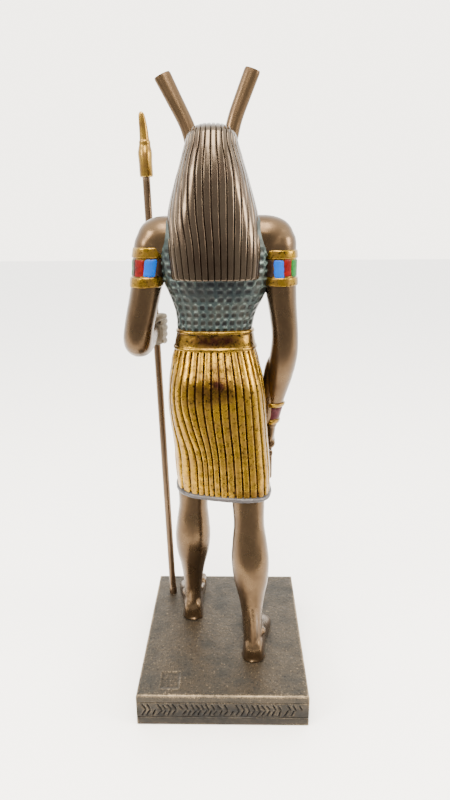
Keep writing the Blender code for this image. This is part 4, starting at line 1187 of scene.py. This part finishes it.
# distance from the middle, or height, and half thickness
BAR = ((-6.4, 1.9), (0.0, 1.3), (6.4, 1.9))
SHAFT = ((104.4, 1.3), (95.0, 1.4), (86.5, 2.2))
turns = [math.radians(14 + 332 * k / 20) for k in range(21)]
loop = [((hang_x, hang_y + 4.2 * math.sin(t), 109.6 - 6.4 * math.cos(t)), 1.0, 1.2) for t in turns]
bar = [((hang_x, hang_y + reach, 102.6), 1.15, girth) for reach, girth in BAR]
shaft = [((hang_x, hang_y, z), 1.25, girth) for z, girth in SHAFT]
ankh = [limb(stations, 14, 2, (1, 0, 0)) for stations in (loop, bar, shaft)]
piece("ankh", ankh, staff_bronze, "figure", voxel=0.3, rounds=2)

# %% [markdown]
# ## Sceptre
# The staff is a slim rod that runs through the left fist down to a socket in the plinth. Its head is a
# small animal with a tall crest, gilt over brown.


# %% Sceptre
def staff_point(up):
    """The staff's middle, a length `up` from its lower end, in millimetres above the figure's ground."""
    way = GRIP - FOOT_OF_STAFF
    way /= np.linalg.norm(way)
    low = FOOT_OF_STAFF - way * 2.5 / way[2]
    return low + way * up


def rod(rows, sides=32):
    """A turned rod along the staff: rows of (length up, radius, radius, shift back, shift aside)."""
    way = staff_point(1.0) - staff_point(0.0)
    side = np.cross(way, (0, 1, 0))
    side /= np.linalg.norm(side)
    other = np.cross(way, side)
    turn = 2 * np.pi * np.arange(sides) / sides
    rings = []
    for up, a, b, back, aside in rows:
        middle = staff_point(up) + (aside, back, 0)
        rings.append(middle + np.outer(a * np.cos(turn), side) + np.outer(b * np.sin(turn), other))
    return skin(rings)


NECK = 242.0
SHAFT_RADIUS, FERRULE_RADIUS = 1.9, 2.2
shaft_rows = [(0.0, 2.0), (0.4, FERRULE_RADIUS), (5.9, FERRULE_RADIUS), (6.5, SHAFT_RADIUS)]
shaft_rows += [(up, SHAFT_RADIUS) for up in np.linspace(10, NECK + 1, 60)]
shaft_skin = rod([(up, radius, radius, 0, 0) for up, radius in shaft_rows])
piece("sceptre_shaft", shaft_skin, staff_bronze, "sceptre", reach=2, full=1.0)
CREST = [
    (0.0, 1.9, 1.9, 0.0, 0.0),
    (0.3, 3.0, 3.1, 0.0, -0.2),
    (1.4, 3.3, 3.4, 0.0, -0.2),
    (7.0, 3.3, 3.8, 0.0, -0.2),
    (11.2, 3.5, 3.6, 0.0, -0.2),
    (14.2, 2.9, 2.7, 0.1, -0.3),
    (15.4, 2.8, 2.6, 0.2, -0.4),
    (16.4, 2.8, 2.6, 0.2, -0.4),
    (17.0, 2.4, 2.2, 0.3, -0.4),
    (22.0, 2.1, 1.8, 0.8, -0.3),
    (25.6, 1.8, 1.5, 1.4, -0.1),
    (28.2, 1.4, 1.1, 1.8, 0.1),
    (29.3, 0.5, 0.5, 2.0, 0.2),
]
# forward, up, half thickness, half height
SNOUT = [(0.0, 1.0, 2.8, 3.4), (5.2, 0.2, 2.3, 2.5), (9.4, -3.2, 1.6, 1.7), (11.5, -6.6, 1.2, 1.2)]
forehead = staff_point(NECK + 8.5)
snout = [(tuple(forehead + (0, -forward, up)), *radii) for forward, up, *radii in SNOUT]
crest = [(NECK + up, *rest) for up, *rest in fair(CREST, 3)]
sceptre_head = [rod(crest, 24), limb(snout, 16, 4, (1, 0, 0))]
piece("sceptre_head", sceptre_head, gilt, "sceptre", voxel=0.26, rounds=2, full=0.25)

# %% [markdown]
# ## Plinth
# The plinth is a block with softly broken edges. Two thin lines are cut round its sides, a little unevenly,
# as if by hand. The panel between them is sunk a little and carries two rows of short slanting strokes on the
# back, which meet like a herringbone. The top is stippled like rough stone, and a bare striped stamp is
# pressed in behind the left foot.

# %% Plinth
half = np.array(PLINTH[:2]) / 2
EDGE = 0.8
LINES = (4.8, 13.4)
LINE_DEPTH, LINE_HALF_WIDTH = 0.85, 0.24
PANEL_DEPTH = 0.15
STROKE_ROWS = ((0.7, 10.8), (-0.7, 7.4))
STROKE_DEPTH, STROKE_HALF_WIDTH = 0.8, 0.3
STROKES_END = 38.4
STAMP_MIDDLE, STAMP_SIZE = (26.2, 40.2), (9.4, 11.3)
STAMP_DEPTH, STAMP_RIM = 0.3, 0.16
# Painted shade over the back face, which is kept darker than the top.
BACK_FACE_SHADE = ((0, 51, -11.5), (60, 6, 7.4), 0.85)
rng = np.random.default_rng(12)
strokes = []
for slant, middle in STROKE_ROWS:
    x = STROKES_END
    while x > -STROKES_END:
        tall = rng.uniform(0.95, 1.5)
        lean = slant * rng.uniform(0.7, 1.2)
        strokes.append((x - lean, middle - tall, x + lean, middle + tall))
        x -= rng.uniform(2.2, 3.2) + (2.4 if rng.random() < 0.12 else 0.0)
print(len(strokes), "strokes on the panel")


def stroke_depth(x, z):
    """Depth of the strokes at places on the back panel."""
    nearest = np.full(x.shape, 9.0)
    for x0, z0, x1, z1 in strokes:
        close = np.abs(x - (x0 + x1) / 2) < 3
        a = np.array((x1 - x0, z1 - z0))
        share = np.clip(((x[close] - x0) * a[0] + (z[close] - z0) * a[1]) / (a @ a), 0, 1)
        gap = np.hypot(x[close] - x0 - share * a[0], z[close] - z0 - share * a[1])
        nearest[close] = np.minimum(nearest[close], gap)
    return -STROKE_DEPTH * np.exp(-((nearest / STROKE_HALF_WIDTH) ** 2))


def side_relief(x, y, z):
    """Relief of the plinth's sides: sunk panel, uneven cut lines and strokes."""
    spot, place = np.stack([x, y, z * 0], -1), np.stack([x, y, z], -1)
    relief = 0.09 * lumpy(place, 3.0, 41) + 0.04 * lumpy(place, 1.0, 42)
    for n, line in enumerate(LINES):
        path = line + 0.22 * lumpy(spot, 16.0, 43 + n) + 0.10 * lumpy(spot, 4.0, 45 + n)
        line_cut = np.exp(-(((z - path) / LINE_HALF_WIDTH) ** 2)) * (0.8 + 0.3 * lumpy(spot, 6.0, 47 + n))
        relief -= LINE_DEPTH * line_cut
    relief -= PANEL_DEPTH * ((z > LINES[0]) & (z < LINES[1]))
    back = (y > half[1] - 0.01) & (np.abs(x) < half[0] - 1.5)
    relief[back] += stroke_depth(x[back], z[back])
    corner = np.clip((half[0] + half[1] - np.abs(x) - np.abs(y)) / 0.1, 0, 1)
    foot, head = np.clip((z - 1.0) / 0.6, 0, 1), np.clip((16.8 - z) / 0.5, 0, 1)
    return relief * np.minimum(corner, foot) * head


def top_relief(x, y):
    """Relief of the plinth's top: stipple and the stamp."""
    spot = np.stack([x, y, x * 0], -1)
    relief = 0.06 * lumpy(spot, 0.9, 51) + 0.10 * lumpy(spot, 7.0, 52)
    off = [np.abs(a - middle) - size / 2 for a, middle, size in zip((x, y), STAMP_MIDDLE, STAMP_SIZE)]
    away = np.maximum(*off)
    relief += STAMP_RIM * np.exp(-((away / 0.5) ** 2)) - STAMP_DEPTH / (1 + np.exp(away * 6))
    relief += 0.09 * (away < -0.8) * np.sin(y * 5.2)
    inset = np.clip(np.minimum(half[0] - np.abs(x), half[1] - np.abs(y)) - EDGE, 0, 1)
    return relief * inset


def plinth():
    """Points and faces of the block: rings up its sides, closed below and by a fine grid on top."""
    nx, ny = 240, 168
    us, vs = np.linspace(-1, 1, nx + 1), np.linspace(-1, 1, ny + 1)
    loop = [(u, -1) for u in us[:-1]] + [(1, v) for v in vs[:-1]]
    loop += [(u, 1) for u in us[:0:-1]] + [(-1, v) for v in vs[:0:-1]]
    loop = np.array(loop)
    levels = np.arange(1.2, 16.6, 0.45)
    for line in LINES:
        levels = np.append(levels, line + np.arange(-0.75, 0.76, 0.15))
    levels = np.unique(np.round(levels, 2))
    levels = levels[np.append(True, np.diff(levels) > 0.08)]
    profile = [(EDGE * (1 - math.sin(a)), EDGE * (1 - math.cos(a))) for a in np.radians([0, 30, 60, 90])]
    rows = [(inset, z) for inset, z in profile] + [(0.0, z) for z in levels]
    rows += [(inset, PLINTH[2] - z) for inset, z in reversed(profile)]
    rings = []
    for inset, z in rows:
        xy = loop * (half - inset)
        relief = np.zeros(len(xy))
        if inset == 0.0:
            relief = side_relief(xy[:, 0], xy[:, 1], np.full(len(xy), z))
        way = np.where(np.abs(loop) > 0.9999, loop, 0.0)
        rings.append(np.column_stack([xy + way * relief[:, None], np.full(len(xy), z)]))
    rings = np.array(rings)
    count = len(loop)
    at = np.arange(rings.shape[0] * count).reshape(-1, count)
    faces = tube(at).tolist()
    faces.append(at[0][::-1].tolist())
    x, y = np.meshgrid(us * (half[0] - EDGE), vs * (half[1] - EDGE), indexing="ij")
    top = np.stack([x, y, PLINTH[2] + top_relief(x, y)], -1)
    grid = np.full((nx + 1, ny + 1), -1)
    ring_of = {tuple(np.round(p, 6)): i for i, p in zip(at[-1], loop)}
    extra, start = [], at.size
    for i in range(nx + 1):
        for j in range(ny + 1):
            found = ring_of.get((round(us[i], 6), round(vs[j], 6)))
            if found is None:
                found = start + len(extra)
                extra.append(top[i, j])
            grid[i, j] = found
    faces += quads(grid).tolist()
    points = np.concatenate([rings.reshape(-1, 3), np.array(extra)])
    return points - (0, 0, GROUND), faces


piece("plinth_block", plinth(), stone, "plinth", reach=6, full=0.16, edge=60, painted_shade=[BACK_FACE_SHADE])

# %% [markdown]
# ## Room
# The statuette stands on a sheet of white paper. The sheet ends a little past the plinth on the camera's
# side, so that it throws less light up at the statuette's back. Soft lamps stand left and right, so both
# sides of every limb catch a pale streak, and two more hang above the camera. The world is a soft white,
# brighter overhead and beyond the statuette.

# %% Room
PAPER_REACH, PAPER_END = 3.0, 0.15
floor_mesh = bpy.data.meshes.new("floor")
sheet = [(-PAPER_REACH, -PAPER_REACH, 0), (PAPER_REACH, -PAPER_REACH, 0), (PAPER_REACH, PAPER_END, 0)]
floor_mesh.from_pydata([*sheet, (-PAPER_REACH, PAPER_END, 0)], [], [(0, 1, 2, 3)])
floor = bpy.data.objects.new("floor", floor_mesh)
bpy.context.scene.collection.objects.link(floor)
paper = bpy.data.materials.new("white_paper")
paper.use_nodes = True
matte = paper.node_tree.nodes["Principled BSDF"].inputs
matte["Base Color"].default_value = linear("#f2f0ee")
matte["Roughness"].default_value = 0.7
floor_mesh.materials.append(paper)
floor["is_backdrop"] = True

world = bpy.data.worlds.new("studio")
world.use_nodes = True
sky = world.node_tree
way = add(sky, "ShaderNodeTexCoord").outputs["Generated"]
leaning = {0: way, 1: (0.0, -0.75, 0.85)}
toward = add(sky, "ShaderNodeVectorMath", leaning, operation="DOT_PRODUCT").outputs["Value"]
fall_off = {"Value": toward, "From Min": -0.5, "From Max": 0.55, "To Min": 1.0, "To Max": 4.5}
glow = add(sky, "ShaderNodeMapRange", fall_off, interpolation_type="SMOOTHSTEP").outputs["Result"]
seen = add(sky, "ShaderNodeLightPath").outputs["Is Camera Ray"]
strength = add(sky, "ShaderNodeMix", {0: seen, 2: glow, 3: 4.8}).outputs[0]
whites = {0: seen, 6: linear("#fffdf8"), 7: linear("#fff9ee")}
tint = add(sky, "ShaderNodeMix", whites, data_type="RGBA").outputs[2]
sky.links.new(tint, sky.nodes["Background"].inputs["Color"])
sky.links.new(strength, sky.nodes["Background"].inputs["Strength"])
bpy.context.scene.world = world


def lamp(name, place, aim, size, watts):
    """A soft square lamp, with its place and aim in metres."""
    data = bpy.data.lights.new(name, "AREA")
    data.size = size
    data.energy = watts
    data.color = linear("#fff6e6")[:3]
    obj = bpy.data.objects.new(name, data)
    obj.location = place
    obj.rotation_euler = (Vector(aim) - Vector(place)).to_track_quat("-Z", "Y").to_euler()
    bpy.context.scene.collection.objects.link(obj)


lamp("lamp_left", (0.66, 0.50, 0.56), (0, 0, 0.2), 0.28, 9.0)
lamp("lamp_right", (-0.86, 0.26, 0.46), (0, 0, 0.2), 0.30, 11.0)
lamp("lamp_top", (0.0, 0.34, 0.82), (0, 0, 0.2), 0.42, 15.0)
lamp("lamp_back", (-0.05, 0.95, 0.86), (0, 0, 0.25), 0.36, 8.0)
print(len(bpy.data.lights), "lamps")

# %% Finish
dressed_box = [list(corner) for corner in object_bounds()]
for name, box in (("castings", cad_box), ("dressed", dressed_box)):
    print(name, "from and to, in mm:", [[round(c * 1000, 1) for c in corner] for corner in box])
